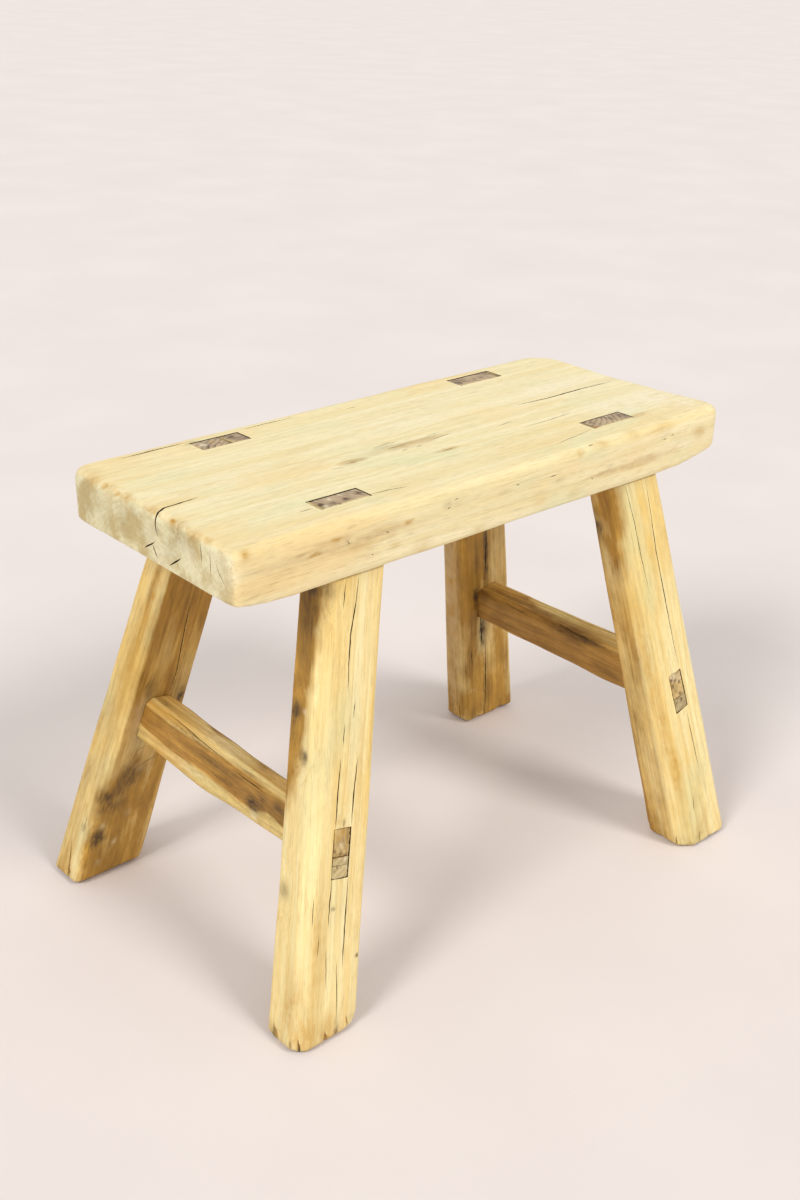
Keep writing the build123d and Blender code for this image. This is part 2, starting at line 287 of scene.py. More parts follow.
def growth_rings(tree, pattern):
    """How dark each year's ring is, from 0 to 1."""
    flat = put(tree, VECTOR_MATH, {0: pattern["grain"], 1: (0, 1, 1)}, **TIMES)
    radius = put(tree, VECTOR_MATH, {0: flat}, out="Value", operation="LENGTH")
    stray = put(tree, RANGE, {"Value": pattern["wander"], "To Min": -RING_WANDER,
                              "To Max": RING_WANDER})
    bent_radius = put(tree, MATH, {0: radius, 1: stray})
    year = put(tree, MATH, {0: bent_radius, 1: 1 / RING_WIDTH}, **TIMES)
    season = put(tree, MATH, {0: year}, operation="FRACT")
    left_of_year = put(tree, MATH, {0: 1.0, 1: season}, operation="SUBTRACT")
    early = put(tree, MATH, {0: left_of_year, 1: RING_SHARPNESS}, operation="POWER")
    shown = put(tree, RANGE, {"Value": pattern["uneven"], "To Min": FAINTEST_RING,
                              **BETWEEN["uneven"]})
    return put(tree, MATH, {0: early, 1: shown}, **TIMES)


# %% [markdown]
# Heartwood isn't one brown. Fine strands and soft mottles share its darkness,
# and they also fray its edge, so brown runs out into the pale wood in streaks.

# %% Heartwood
STRAND_SHARE, BLOTCH_SHARE = 0.4, 0.6


def heartwood(tree, pattern):
    """Where brown wood shows, and how deep its brown is."""
    blotches = put(tree, MATH, {0: pattern["blotch"], 1: BLOTCH_SHARE}, **TIMES)
    mottle = put(tree, MATH, {0: pattern["strand"], 1: STRAND_SHARE, 2: blotches},
                 **TIMES_AND_ADD)
    frayed = put(tree, MATH, {0: mottle, 1: pattern["heart"]})
    shown = put(tree, RANGE, {"Value": frayed, **BETWEEN["heart"]})
    depth = put(tree, RANGE, {"Value": mottle, **BETWEEN["mottle"]})
    return shown, depth


# %% [markdown]
# An end takes up water and dirt like a bundle of straws, so it is duller than a
# face and patchy. The rings cross it as arcs, and the saw has left strokes.

# %% End grain
STROKE_STRETCH = 0.10     # width of a stroke against its length
STROKE_SHOW, PATCH_SHOW = 0.22, 0.85


def sawn_end(tree, pattern, ring, tone, end_rings):
    """The colour of an end, and the strokes that the saw left on it."""
    sawn = put(tree, "ShaderNodeVectorRotate",
               {"Vector": pattern["grain"], "Angle": SAW_ANGLE}, rotation_type="X_AXIS")
    across_cut = put(tree, VECTOR_MATH,
                     {0: sawn, 1: (0, STROKE_STRETCH / SAW_PITCH, 1 / SAW_PITCH)}, **TIMES)
    strokes = put(tree, "ShaderNodeTexNoise", {"Vector": across_cut, "Scale": 1.0})
    stroked = put(tree, RANGE, {"Value": strokes, "To Max": STROKE_SHOW, **BETWEEN["stroke"]})
    patchy = put(tree, RANGE, {"Value": pattern["patch"], "To Max": PATCH_SHOW,
                               **BETWEEN["patch"]})
    ringed = put(tree, MATH, {0: ring, 1: end_rings}, **TIMES)
    colour = tone["end_pale"]
    for mask, tint in ((patchy, "end_dark"), (stroked, "end_dark"), (ringed, "end_deep")):
        colour = put(tree, COLOUR_MIX, {FACTOR: mask, UNDER: colour, OVER: tone[tint]},
                     **COLOURS)
    return colour, strokes


# %% [markdown]
# A stain painted as a smooth spot looks sprayed on. Real ones sit in the pores,
# so specks along the grain break each one up, most where it is faint.

# %% Stains
MARK_SHARE = 0.28         # how far a strong mark closes the gaps between specks
FAINTEST_STAIN, FULLEST_STAIN = 0.2, 1.2


def broken_stains(tree, pattern):
    """How much the orange, the dark and the bleached marks show."""
    stained = []
    for mark in pattern["marks"]:
        ragged = put(tree, MATH, {0: mark, 1: MARK_SHARE, 2: pattern["speck"]},
                     **TIMES_AND_ADD)
        broken = put(tree, RANGE, {"Value": ragged, "To Min": FAINTEST_STAIN,
                                   "To Max": FULLEST_STAIN, **BETWEEN["stain"]})
        stained.append(put(tree, MATH, {0: mark, 1: broken}, use_clamp=True, **TIMES))
    return stained


# %% [markdown]
# Scrubbing wears the soft early wood and opens the pores, so rings and pores lie
# lower than the fibres, and bare wood scatters light with hardly any gloss.

# %% The bare surface
FIBRE_RELIEF, RING_RELIEF, PORE_RELIEF, STROKE_RELIEF = 0.5, -0.35, -0.5, 0.8
RELIEF_DEPTH, RELIEF_STRENGTH = 0.35 * MM, 0.6
SMOOTHEST, ROUGHEST = 0.57, 0.70
WOOD_IOR = 1.5


def bare_surface(tree, pattern, colour, hollows):
    """Ends the material in a matt surface, raised and lowered by its patterns."""
    relief = put(tree, MATH, {0: pattern["fibre"], 1: FIBRE_RELIEF}, **TIMES)
    for part, amount in hollows:
        raised = put(tree, MATH, {0: part, 1: amount}, **TIMES)
        relief = put(tree, MATH, {0: relief, 1: raised})
    bump = put(tree, "ShaderNodeBump", {"Height": relief, "Distance": RELIEF_DEPTH,
                                        "Strength": RELIEF_STRENGTH})
    dull = put(tree, RANGE, {"Value": pattern["fibre"], "To Min": SMOOTHEST,
                             "To Max": ROUGHEST, **BETWEEN["fine"]})
    body = put(tree, "ShaderNodeBsdfPrincipled",
               {"Base Color": colour, "Normal": bump, "IOR": WOOD_IOR, "Roughness": dull})
    put(tree, "ShaderNodeOutputMaterial", {"Surface": body})


# %% [markdown]
# One function builds every wood of the stool, because they differ only in
# colour and in how strongly each pattern shows. It lays the patterns over one
# another, from the broad ones to the marks on top.

# %% Wood material
# The dark stain colour also paints the shade that the grime carries at the joints, and the brown
# mix paints the legs' inner shade.
PORE_BROWN, STAIN_ORANGE, DARK_STAIN_AND_SHADE, RUBBED_PALE = (
    linear(code) for code in ("#7d6238", "#ba8828", "#463010", "#efe4c4"))
LIGHT_FIBRE_SHARE = 0.6   # how far fibres lighten the wood, against how far they darken it


def wood(name, colours, ring_show, pore_show, cloud_show, fibre_show, end_rings):
    """A scrubbed wood whose patterns follow the mesh's own grain attribute."""
    material, tree = empty_material(name)
    tone = {part: linear(code) for part, code in colours.items()}
    pattern = patterns_on(tree)
    ring = growth_rings(tree, pattern)
    browned, depth = heartwood(tree, pattern)
    end_wood, strokes = sawn_end(tree, pattern, ring, tone, end_rings)
    orange, dark_and_shade, bleached = broken_stains(tree, pattern)

    streaked = put(tree, RANGE, {"Value": pattern["streak"], **BETWEEN["streak"]})
    warmth = put(tree, RANGE, {"Value": pattern["cloud"], "To Max": cloud_show,
                               **BETWEEN["cloud"]})
    coolness = put(tree, RANGE, {"Value": pattern["cool"], "To Max": cloud_show,
                                 **BETWEEN["cool"]})
    pores = put(tree, RANGE, {"Value": pattern["pore"], **BETWEEN["pore"]})
    pore_mask = put(tree, MATH, {0: pores, 1: pore_show}, **TIMES)
    ring_mask = put(tree, MATH, {0: ring, 1: ring_show}, **TIMES)
    brown = put(tree, COLOUR_MIX, {FACTOR: depth, UNDER: tone["heart"],
                                   OVER: tone["heart_deep"]}, **COLOURS)
    ring_tint = put(tree, COLOUR_MIX, {FACTOR: browned, UNDER: tone["ring"],
                                       OVER: tone["heart_deep"]}, **COLOURS)

    colour = tone["pale"]
    for mask, tint in ((streaked, tone["honey"]), (warmth, tone["warm"]),
                       (coolness, tone["cool"]), (browned, brown), (ring_mask, ring_tint),
                       (pattern["ends"], end_wood), (pore_mask, PORE_BROWN),
                       (bleached, RUBBED_PALE), (orange, STAIN_ORANGE), (dark_and_shade, DARK_STAIN_AND_SHADE)):
        colour = put(tree, COLOUR_MIX, {FACTOR: mask, UNDER: colour, OVER: tint}, **COLOURS)
    for fine in ("fibre", "speck"):
        shade = put(tree, RANGE, {"Value": pattern[fine], "To Min": 1 - fibre_show,
                                  "To Max": 1 + fibre_show * LIGHT_FIBRE_SHARE,
                                  **BETWEEN["fine"]})
        grey = put(tree, "ShaderNodeCombineColor", {0: shade, 1: shade, 2: shade})
        colour = put(tree, COLOUR_MIX, {FACTOR: 1.0, UNDER: colour, OVER: grey},
                     blend_type="MULTIPLY", **COLOURS)

    end_strokes = put(tree, MATH, {0: strokes, 1: pattern["ends"]}, **TIMES)
    bare_surface(tree, pattern, colour, ((ring, RING_RELIEF), (pores, PORE_RELIEF),
                                         (end_strokes, STROKE_RELIEF)))
    return material


# %% [markdown]
# The seat is the palest wood, the legs are more golden, and the stretchers,
# split from the branch's middle, are half brown heartwood. The slips that fill
# the mortises are offcuts. Tenon ends take up dirt and go grey-brown.

# %% The four woods
seat_elm = wood(
    "elm_scrubbed_and_bleached",
    {"pale": "#f0e2b6", "honey": "#e8d6a0", "ring": "#cfae6a", "warm": "#eccd8e",
     "cool": "#e0dcae", "heart": "#cfa45c", "heart_deep": "#a47c3c",
     "end_pale": "#e8dfb4", "end_dark": "#c4ad74", "end_deep": "#a88d54"},
    ring_show=0.20, pore_show=0.16, cloud_show=0.66, fibre_show=0.06, end_rings=0.24)
leg_elm = wood(
    "elm_scrubbed_golden",
    {"pale": "#f3e1a6", "honey": "#ebcc82", "ring": "#bb8d3c", "warm": "#e7be5e",
     "cool": "#ddd49c", "heart": "#cd9c3c", "heart_deep": "#93681a",
     "end_pale": "#c4ab88", "end_dark": "#8c7560", "end_deep": "#43342a"},
    ring_show=0.30, pore_show=0.18, cloud_show=0.66, fibre_show=0.09, end_rings=0.95)
stretcher_elm = wood(
    "elm_branch_with_heartwood",
    {"pale": "#f4dd98", "honey": "#dcae58", "ring": "#8c5c20", "warm": "#cb983a",
     "cool": "#dcc880", "heart": "#c99640", "heart_deep": "#80560f",
     "end_pale": "#d8b878", "end_dark": "#a98648", "end_deep": "#5a4022"},
    ring_show=0.55, pore_show=0.36, cloud_show=0.6, fibre_show=0.14, end_rings=0.6)
slip_wood = wood(
    "elm_offcut_slips",
    {"pale": "#dccb98", "honey": "#cdb680", "ring": "#97804f", "warm": "#cda566",
     "cool": "#cbc79c", "heart": "#b0864a", "heart_deep": "#80602e",
     "end_pale": "#dcc792", "end_dark": "#b79d66", "end_deep": "#6b5632"},
    ring_show=0.4, pore_show=0.4, cloud_show=0.6, fibre_show=0.10, end_rings=0.45)

# %% The dirt and painted shade in the cracks
# Crack and mortise walls are painted near black: dirt, and painted shade for the dark that falls
# deep in a narrow slit.
CRACK_DARK, CRACK_PALE = "#2b1f10", "#54401f"
DUST_PER_METRE = 400.0
CRACK_ROUGHNESS = 0.9

crack_dirt_and_shade, tree = empty_material("dirt_and_shade_in_cracks")
dust = put(tree, "ShaderNodeTexNoise",
           {"Vector": put(tree, "ShaderNodeNewGeometry", out="Position"),
            "Scale": DUST_PER_METRE, "Detail": 3.0})
crack_tone = put(tree, COLOUR_MIX, {FACTOR: dust, UNDER: linear(CRACK_DARK),
                              OVER: linear(CRACK_PALE)}, **COLOURS)
crack_surface = put(tree, "ShaderNodeBsdfPrincipled",
               {"Base Color": crack_tone, "Roughness": CRACK_ROUGHNESS})
put(tree, "ShaderNodeOutputMaterial", {"Surface": crack_surface})
print("materials:", [m.name for m in (seat_elm, leg_elm, stretcher_elm, slip_wood, crack_dirt_and_shade)])

# %% [markdown]
# ## From CAD solids to worn wood
# A CAD solid has few, large faces. To wear it like wood it needs a fine, even
# skin. So each piece is closed where a mortise goes through it, remeshed with
# small even faces, worn, and then the mortises and cracks are cut again with
# sharp tools. Cutting last keeps the joints crisp while the arrises are soft.


# %% Reading and writing points, in mm
def points_of(mesh):
    """The mesh's points in mm, one per row."""
    flat = np.empty(len(mesh.vertices) * 3)
    mesh.vertices.foreach_get("co", flat)
    return flat.reshape(-1, 3) / MM


def move_points(mesh, points):
    """Puts the mesh's points at these places in mm."""
    mesh.vertices.foreach_set("co", (points * MM).ravel())
    mesh.update()


def normals_of(mesh):
    """The direction that each point of the mesh faces."""
    flat = np.empty(len(mesh.vertices) * 3)
    mesh.vertex_normals.foreach_get("vector", flat)
    return flat.reshape(-1, 3)


def smooth_step(values, low, high):
    """0 below low, 1 above high, and a soft rise between."""
    t = np.clip((values - low) / (high - low), 0, 1)
    return t * t * (3 - 2 * t)


def bell(values, width):
    """1 at zero, falling softly to almost nothing at twice the width."""
    return np.exp(-(values / width) ** 2)


# %% [markdown]
# Hand-worked wood is never flat. The function below gives smooth random lumps
# of a chosen size: random values on a coarse lattice, blended between its
# points. The seed is fixed, so every run gives the same stool.

# %% Seeded lumps
LATTICE = 32
LATTICE_START = LATTICE * 3.37      # sets the stool's middle off the lattice's points


def lumps(points, size, seed):
    """Smooth values from -1 to 1 that change over about that size in mm."""
    table = np.random.default_rng(seed).uniform(-1, 1, (LATTICE,) * 3)
    place = np.asarray(points) / np.asarray(size) + LATTICE_START
    cell = np.floor(place).astype(int)
    part = place - cell
    part = part * part * (3 - 2 * part)
    total = np.zeros(len(place))
    for corner in range(8):
        step = np.array([corner >> axis & 1 for axis in range(3)])
        share = np.prod(np.where(step, part, 1 - part), axis=1)
        x, y, z = ((cell + step) % LATTICE).T
        total += share * table[x, y, z]
    return total


# %% [markdown]
# Wear rounds an edge because it takes wood off wherever a point stands out
# from its neighbours. Moving each point part of the way to the middle of its
# neighbours, again and again, does the same. A weight per point says where the
# wear was heavy, such as along the seat's front edge, and where it was light.

# %% Wearing a skin
FULL_STEP = 0.6           # share of the way that a point of full weight moves each time


def wear(mesh, rounds, weight):
    """Draws each point towards its neighbours, by its weight from 0 to 1."""
    points = points_of(mesh)
    ends = np.empty(len(mesh.edges) * 2, int)
    mesh.edges.foreach_get("vertices", ends)
    one, other = ends.reshape(-1, 2).T
    count = len(points)
    share = (np.clip(weight, 0, 1) * FULL_STEP
             / np.maximum(np.bincount(ends, minlength=count), 1))[:, None]
    for _ in range(rounds):
        pull = np.stack([
            np.bincount(one, points[other, k] - points[one, k], count)
            + np.bincount(other, points[one, k] - points[other, k], count)
            for k in range(3)], axis=1)
        points += share * pull
    move_points(mesh, points)


# %% [markdown]
# A mortise's walls are the faces that lie against the guest that passes
# through it. Taking them out leaves two rims. The rims are filled to close the
# body, and kept as the shape of the cutter that opens the mortise again.

# %% Closing the mortises
WELD = 1e-6
AGAINST = 0.9 * MM
ACROSS = 0.5              # a wall faces this little, or less, along the mortise


def close_mortises(shape, guests):
    """Fills the holes that the guest nodes pass through. Gives each hole's two rims."""
    axis = Vector(frame_axis[guests[0]])
    trees = [BVHTree.FromObject(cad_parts[g], bpy.context.evaluated_depsgraph_get())
             for g in guests]

    def touches(face):
        centre = face.calc_center_median()
        return any(t.find_nearest(centre, AGAINST)[0] for t in trees)

    walls = {f for f in shape.faces if abs(f.normal.dot(axis)) < ACROSS and touches(f)}
    rim = {v for f in walls for e in f.edges
           if len([g for g in e.link_faces if g in walls]) == 1 for v in e.verts}
    middle = sum((v.co for v in rim), Vector()) / len(rim)
    halves = [[v.co.copy() for v in rim if ((v.co - middle).dot(axis) > 0) == side]
              for side in (True, False)]
    bmesh.ops.delete(shape, geom=list(walls), context="FACES")
    bmesh.ops.holes_fill(shape, edges=[e for e in shape.edges if e.is_boundary], sides=0)
    return axis, halves


def ring_order(rim, axis):
    """A rim's corners in order round the axis."""
    centre = sum(rim, Vector()) / len(rim)
    side = axis.orthogonal().normalized()
    other = axis.cross(side)
    return sorted(rim, key=lambda p: math.atan2((p - centre).dot(other),
                                                (p - centre).dot(side)))


# %% [markdown]
# A closed skin drawn over a row of rings makes both of the cutters here: the
# one that opens a mortise, and the thin blade that opens a crack.


# %% Skin over rings
def skin(name, rings):
    """A closed mesh object over rings of equally many points, in mm."""
    count = len(rings[0])
    last = (len(rings) - 1) * count
    faces = [tuple(range(count)), tuple(last + i for i in range(count))]
    for r in range(len(rings) - 1):
        for i in range(count):
            j = (i + 1) % count
            a, b = r * count, (r + 1) * count
            faces.append((a + i, a + j, b + j, b + i))
    mesh = bpy.data.meshes.new(name)
    mesh.from_pydata((np.concatenate(rings) * MM).tolist(), [], faces)
    tidy = bmesh.new()
    tidy.from_mesh(mesh)
    bmesh.ops.recalc_face_normals(tidy, faces=tidy.faces)
    tidy.to_mesh(mesh)
    tidy.free()
    return in_scene(name, mesh)


# %% Cutting a piece
def settle(piece):
    """Keeps what the piece's modifiers make of it, and drops the modifiers."""
    ready = piece.evaluated_get(bpy.context.evaluated_depsgraph_get())
    mesh = bpy.data.meshes.new_from_object(ready)
    piece.modifiers.clear()
    old, piece.data = piece.data, mesh
    bpy.data.meshes.remove(old)


def cut(piece, tools, slot):
    """Takes the tools away from the piece. Faces that they leave get that slot."""
    for tool in tools:
        tool.data.materials.clear()
        for slot_material in piece.data.materials:
            tool.data.materials.append(slot_material)
        inside = [slot] * len(tool.data.polygons)
        tool.data.polygons.foreach_set("material_index", inside)
        knife = piece.modifiers.new(tool.name, "BOOLEAN")
        knife.operation, knife.solver, knife.object = "DIFFERENCE", "MANIFOLD", tool
    settle(piece)
    for tool in tools:
        mesh = tool.data
        bpy.data.objects.remove(tool)
        bpy.data.meshes.remove(mesh)


# %% Mortise cutter
STEPS_A_SIDE, STEPS_THROUGH = 8, 10
CUT_BEYOND = 4.0          # how far the cutter reaches past both rims, in mm
CHISEL_BITE = 5.0         # how far apart the chisel's unevennesses lie, in mm


def mortise_cutter(name, axis, halves, gap, seed):
    """A cutter of the mortise's shape whose sides wander a little, as chiselled ones do."""
    top, bottom = (ring_order(half, axis) for half in halves)
    top, bottom = (np.array(half) / MM for half in (top, bottom))
    flat = np.array(axis)
    across = bottom - np.outer(bottom @ flat, flat)
    pairs = [np.argmin(np.linalg.norm(across - (t - (t @ flat) * flat), axis=1)) for t in top]
    bottom = bottom[pairs]
    beyond = CUT_BEYOND / np.linalg.norm(top - bottom, axis=1).mean()
    rings = []
    for share in np.linspace(-beyond, 1 + beyond, STEPS_THROUGH):
        corners = bottom + (top - bottom) * share
        walk = [corners[i] + (corners[(i + 1) % len(corners)] - corners[i]) * s / STEPS_A_SIDE
                for i in range(len(corners)) for s in range(STEPS_A_SIDE)]
        walk = np.array(walk)
        out = walk - walk.mean(axis=0)
        out /= np.linalg.norm(out, axis=1)[:, None]
        rings.append(walk + out * (gap * (1 + lumps(walk, CHISEL_BITE, seed)))[:, None])
    return skin(name, rings)


# %% [markdown]
# A mark on the wood is placed by where the photograph shows it. A ray from the
# camera through that pixel meets the piece at the mark's real place, so the
# mark sits on the wood from every side.


# %% From a pixel to a place on the wood
def tree_over(piece):
    """A search tree over the piece's faces."""
    return BVHTree.FromObject(piece, bpy.context.evaluated_depsgraph_get())


def seen_at(tree, pixel):
    """Where the ray through that pixel meets the piece, in mm, and the way it faces."""
    ray = (image_right * (pixel[0] - PHOTO_WIDTH / 2)
           - image_up * (pixel[1] - PHOTO_HEIGHT / 2) - back * FOCAL_PIXELS)
    place, facing, _, _ = tree.ray_cast(CAMERA_PLACE, ray.normalized())
    if place is None:
        return None
    return np.array(place) / MM, np.array(facing)


# %% [markdown]
# A crack in old elm is a thin wedge of missing wood: open at the surface,
# closed a few millimetres down, pointed at both ends, and never quite straight
# because it follows the fibres. First its line of pixels is laid on the wood as
# evenly spaced stations, and then a blade is drawn along them.

# %% Laying a line of pixels on the wood
PIXELS_A_STEP = 2         # how far apart the rays are
FEWEST_PLACES = 3         # a line that meets the wood less often than this is left out
SAME_PLACE = 1e-6
STATION_STEP = 3.0        # in mm
FEWEST_STATIONS = 4
RUN_OUT = 8.0             # how far a blade that runs out goes on, in mm


def resampled(run, stations, rows):
    """The rows at these distances along the line."""
    return np.stack([np.interp(stations, run, rows[:, k]) for k in range(3)], axis=1)


def line_on_wood(tree, pixels, runs_out):
    """Evenly spaced places on the piece along a line of pixels, and the way each faces."""
    met = []
    for (x0, y0), (x1, y1) in zip(pixels, pixels[1:]):
        parts = max(2, int(math.hypot(x1 - x0, y1 - y0) / PIXELS_A_STEP))
        for i in range(parts + 1):
            spot = seen_at(tree, (x0 + (x1 - x0) * i / parts, y0 + (y1 - y0) * i / parts))
            if spot is not None:
                met.append(spot)
    if len(met) < FEWEST_PLACES:
        return None
    line, faces = (np.array(part) for part in zip(*met))
    run = np.concatenate([[0], np.cumsum(np.linalg.norm(np.diff(line, axis=0), axis=1))])
    keep = np.concatenate([[True], np.diff(run) > SAME_PLACE])
    run, line, faces = run[keep], line[keep], faces[keep]
    if runs_out:
        onward = line[-1] - line[-3]
        line = np.vstack([line, line[-1] + onward / np.linalg.norm(onward) * RUN_OUT])
        faces = np.vstack([faces, faces[-1:]])
        run = np.append(run, run[-1] + RUN_OUT)
    stations = np.linspace(0, run[-1], max(FEWEST_STATIONS, int(run[-1] / STATION_STEP)))
    line, faces = resampled(run, stations, line), resampled(run, stations, faces)
    for _ in range(3):
        faces[1:-1] = (faces[:-2] + faces[1:-1] * 2 + faces[2:]) / 4
    return line, faces / np.linalg.norm(faces, axis=1)[:, None]


# %% Crack blades
WAVER = 0.11              # how far a crack strays from its line, in mm
TAPER_POWER = 0.55        # below 1 keeps a crack wide for most of its length
WIDTH_RANGE = (0.75, 1.15)
THINNEST = 0.08           # against the blade's full width
SHALLOWEST = 0.25         # depth at the ends against the middle's
BLADE_RISE = 1.6          # how far the blade stands out of the wood, in mm
MOUTH, TIP = 1.4, 0.12    # the blade's width above the wood and at its bottom


def crack_blade(tree, name, pixels, width, depth, seed, runs_out=False):
    """A blade along a line of pixels, for a crack that wide and deep in mm.
    One that runs out stays open where it leaves the piece."""
    laid = line_on_wood(tree, pixels, runs_out)
    if laid is None:
        return None
    line, faces = laid
    ahead = np.gradient(line, axis=0)
    side = np.cross(ahead, faces)
    side /= np.linalg.norm(side, axis=1)[:, None]
    chance = np.random.default_rng(seed)
    line = line + side * chance.normal(0, WAVER, len(line))[:, None]
    t = np.linspace(0, 1, len(line))
    taper = np.clip(np.sin(math.pi * t * (0.5 if runs_out else 1)), 0, 1) ** TAPER_POWER
    uneven = chance.uniform(*WIDTH_RANGE, len(line))
    half = 0.5 * width * np.maximum(taper * uneven, THINNEST)
    deep = depth * (SHALLOWEST + (1 - SHALLOWEST) * taper)
    rings = []
    for p, n, s, h, d in zip(line, faces, side, half, deep):
        above, below = p + n * BLADE_RISE, p - n * d
        rings.append(np.array([above + s * h * MOUTH, above - s * h * MOUTH,
                               below - s * h * TIP, below + s * h * TIP]))
    return skin(name, rings)


# %% [markdown]
# ## What each mesh tells its wood
# The grain attribute is the point's place along, across and through its piece,
# in mm, measured from the pith. A knot pushes the rings aside, so it adds a
# round bump to that place. The other attributes hold the listed marks.

# %% Which way each piece's grain runs
END_BAND = 6.0            # how much of a node counts as its end, in mm


def ends_of(name, axis):
    """The middles of a node's two ends along an axis of the frame, in mm."""
    points = points_of(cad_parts[name].data)
    found = []
    for extreme in (points[:, axis].min(), points[:, axis].max()):
        near = points[np.abs(points[:, axis] - extreme) < END_BAND]
        found.append((near.min(axis=0) + near.max(axis=0)) / 2)
    return found


LEGS = ("front_left", "front_right", "back_left", "back_right")
frame_line = {"seat": ends_of("seat", 0)}
for place in LEGS:
    frame_line[f"leg_{place}"] = ends_of(f"leg_{place}", 2)
for side in ("left", "right"):
    frame_line[f"stretcher_{side}"] = ends_of(f"stretcher_{side}", 1)
frame_axis = {name: (b - a) / np.linalg.norm(b - a) for name, (a, b) in frame_line.items()}
print("legs lean by", {name: round(math.degrees(math.acos(abs(a[2]))), 1)
                       for name, a in frame_axis.items() if name.startswith("leg")})


def grain_axes(along, side):
    """Three directions: along the grain, across it, and through the piece."""
    along = np.array(along)
    across = np.array(side, float) - along * (along @ side)
    across /= np.linalg.norm(across)
    return np.stack([along, across, np.cross(along, across)])


# %% [markdown]
# Stains are listed by kind. Each has its pixel, how far it reaches along the
# grain and across it in mm, and its strength. Its edge is broken by lumps, so
# that no stain is a plain oval.

# %% Stains placed by pixel
ORANGE, DARK, BLEACHED, BROWN = 0, 1, 2, 3
FADE_POWER = 1.5          # above 1 makes a stain's middle even and its edge steep
EVEN_PART, LUMPY_PART = 0.95, 0.25
LARGEST_LUMPY_WIDTH, LUMP_SHARE = 9.0, 0.8
STAIN_SEED = 71


def stains_on(tree, points, grain, origin, axes, stains):
    """How strongly each kind of mark shows at each point."""
    marks = np.zeros((len(points), 4))
    for kind, places in stains.items():
        for pixel, long, wide, strength in places:
            spot = seen_at(tree, pixel)
            if spot is None:
                continue
            away = (grain - (spot[0] - origin) @ axes.T) / (long, wide, wide)
            fade = np.exp(-(away ** 2).sum(axis=1) ** FADE_POWER)
            lump = min(wide, LARGEST_LUMPY_WIDTH) * LUMP_SHARE
            ragged = EVEN_PART + LUMPY_PART * lumps(points, lump, STAIN_SEED)
            marks[:, kind] = np.maximum(marks[:, kind], strength * fade * ragged)
    return marks


# %% Knots, with their pixel, their size in mm and how far they push the rings
KNOT_STRETCH = 2.0        # a knot disturbs the grain further along than across
KNOT_PUSH = 0.7           # the share of a push that goes across, and the same through


def bent_by_knots(tree, grain, origin, axes, knots):
    """The grain's places, pushed aside round each knot."""
    bent = grain.copy()
    for pixel, size, push in knots:
        spot = seen_at(tree, pixel)
        if spot is None:
            continue
        away = (grain - (spot[0] - origin) @ axes.T) / (size * KNOT_STRETCH, size, size)
        bent[:, 1:] += (push * np.exp(-(away ** 2).sum(axis=1)))[:, None] * KNOT_PUSH
    return bent


# %% Writing the attributes
END_FACING = (0.62, 0.86)     # how squarely a face has to lie across the grain


def write(mesh, name, kind, values):
    """Stores one value, or three, for every point of the mesh."""
    made = mesh.attributes.new(name, kind, "POINT")
    made.data.foreach_set("vector" if kind == "FLOAT_VECTOR" else "value",
                          np.ascontiguousarray(values, np.float32).ravel())


def dress(piece, origin, axes, pith, stains, grime_and_shade, knots=(), heart=None):
    """Writes the grain, the marks, the end grain and the heartwood of a finished mesh."""
    mesh = piece.data
    points, facing = points_of(mesh), normals_of(mesh)
    grain = (points - origin) @ axes.T
    tree = tree_over(piece)
    marks = stains_on(tree, points, grain, origin, axes, stains)
    # The grime adds dirt, and painted shade where legs and stretchers meet other pieces, to the
    # dark marks.
    marks[:, DARK] = np.maximum(marks[:, DARK], grime_and_shade(points, facing))
    bent = bent_by_knots(tree, grain, origin, axes, knots)
    bent[:, 1:] -= pith
    amount = np.zeros(len(points)) if heart is None else heart(points, grain, facing)
    write(mesh, "grain", "FLOAT_VECTOR", bent)
    write(mesh, "marks", "FLOAT_VECTOR", np.clip(marks[:, :BROWN], 0, 1))
    write(mesh, "ends", "FLOAT", smooth_step(np.abs(facing @ axes[0]), *END_FACING))
    # On the legs the heart amount also holds painted shade on their inner faces.
    write(mesh, "heart", "FLOAT", np.clip(np.maximum(amount, marks[:, BROWN]), 0, 1))


# %% [markdown]
# ## One way for every piece
# Every piece is made in the same order: copy, close, remesh, wear, roughen,
# dent, cut the mortises and the cracks, then dress it. The pieces differ in
# their values only, so the same functions do it for each.

# %% Copy and dents
DENT_FALL = 1.5           # how steeply a dent's wall rises to its rim


def closed_copy(name, node, guests):
    """A copy of a CAD node with its mortises closed, and what each mortise was."""
    shape = bmesh.new()
    shape.from_mesh(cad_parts[node].data)
    bmesh.ops.remove_doubles(shape, verts=shape.verts, dist=WELD)
    mortises = [close_mortises(shape, group) for group in guests]
    mesh = bpy.data.meshes.new(name)
    shape.to_mesh(mesh)
    shape.free()
    return in_scene(name, mesh), mortises


def press_dents(piece, points, dents):
    """Presses in a soft hollow, of a radius and a depth in mm, at each dent's pixel."""
    tree = tree_over(piece)
    for pixel, size, depth in dents:
        spot = seen_at(tree, pixel)
        if spot is None:
            continue
        near = np.exp(-(((points - spot[0]) / size) ** 2).sum(axis=1) * DENT_FALL)
        points = points - spot[1] * (depth * near)[:, None]
    move_points(piece.data, points)


# %% Cuts, where a crack or a chip is a line of pixels, a width and a depth
BARE_SLOT, DIRT_AND_SHADE_SLOT = 0, 1
MORTISE_SEED, CHIP_SEED, CRACK_SEED = 40, 60, 90


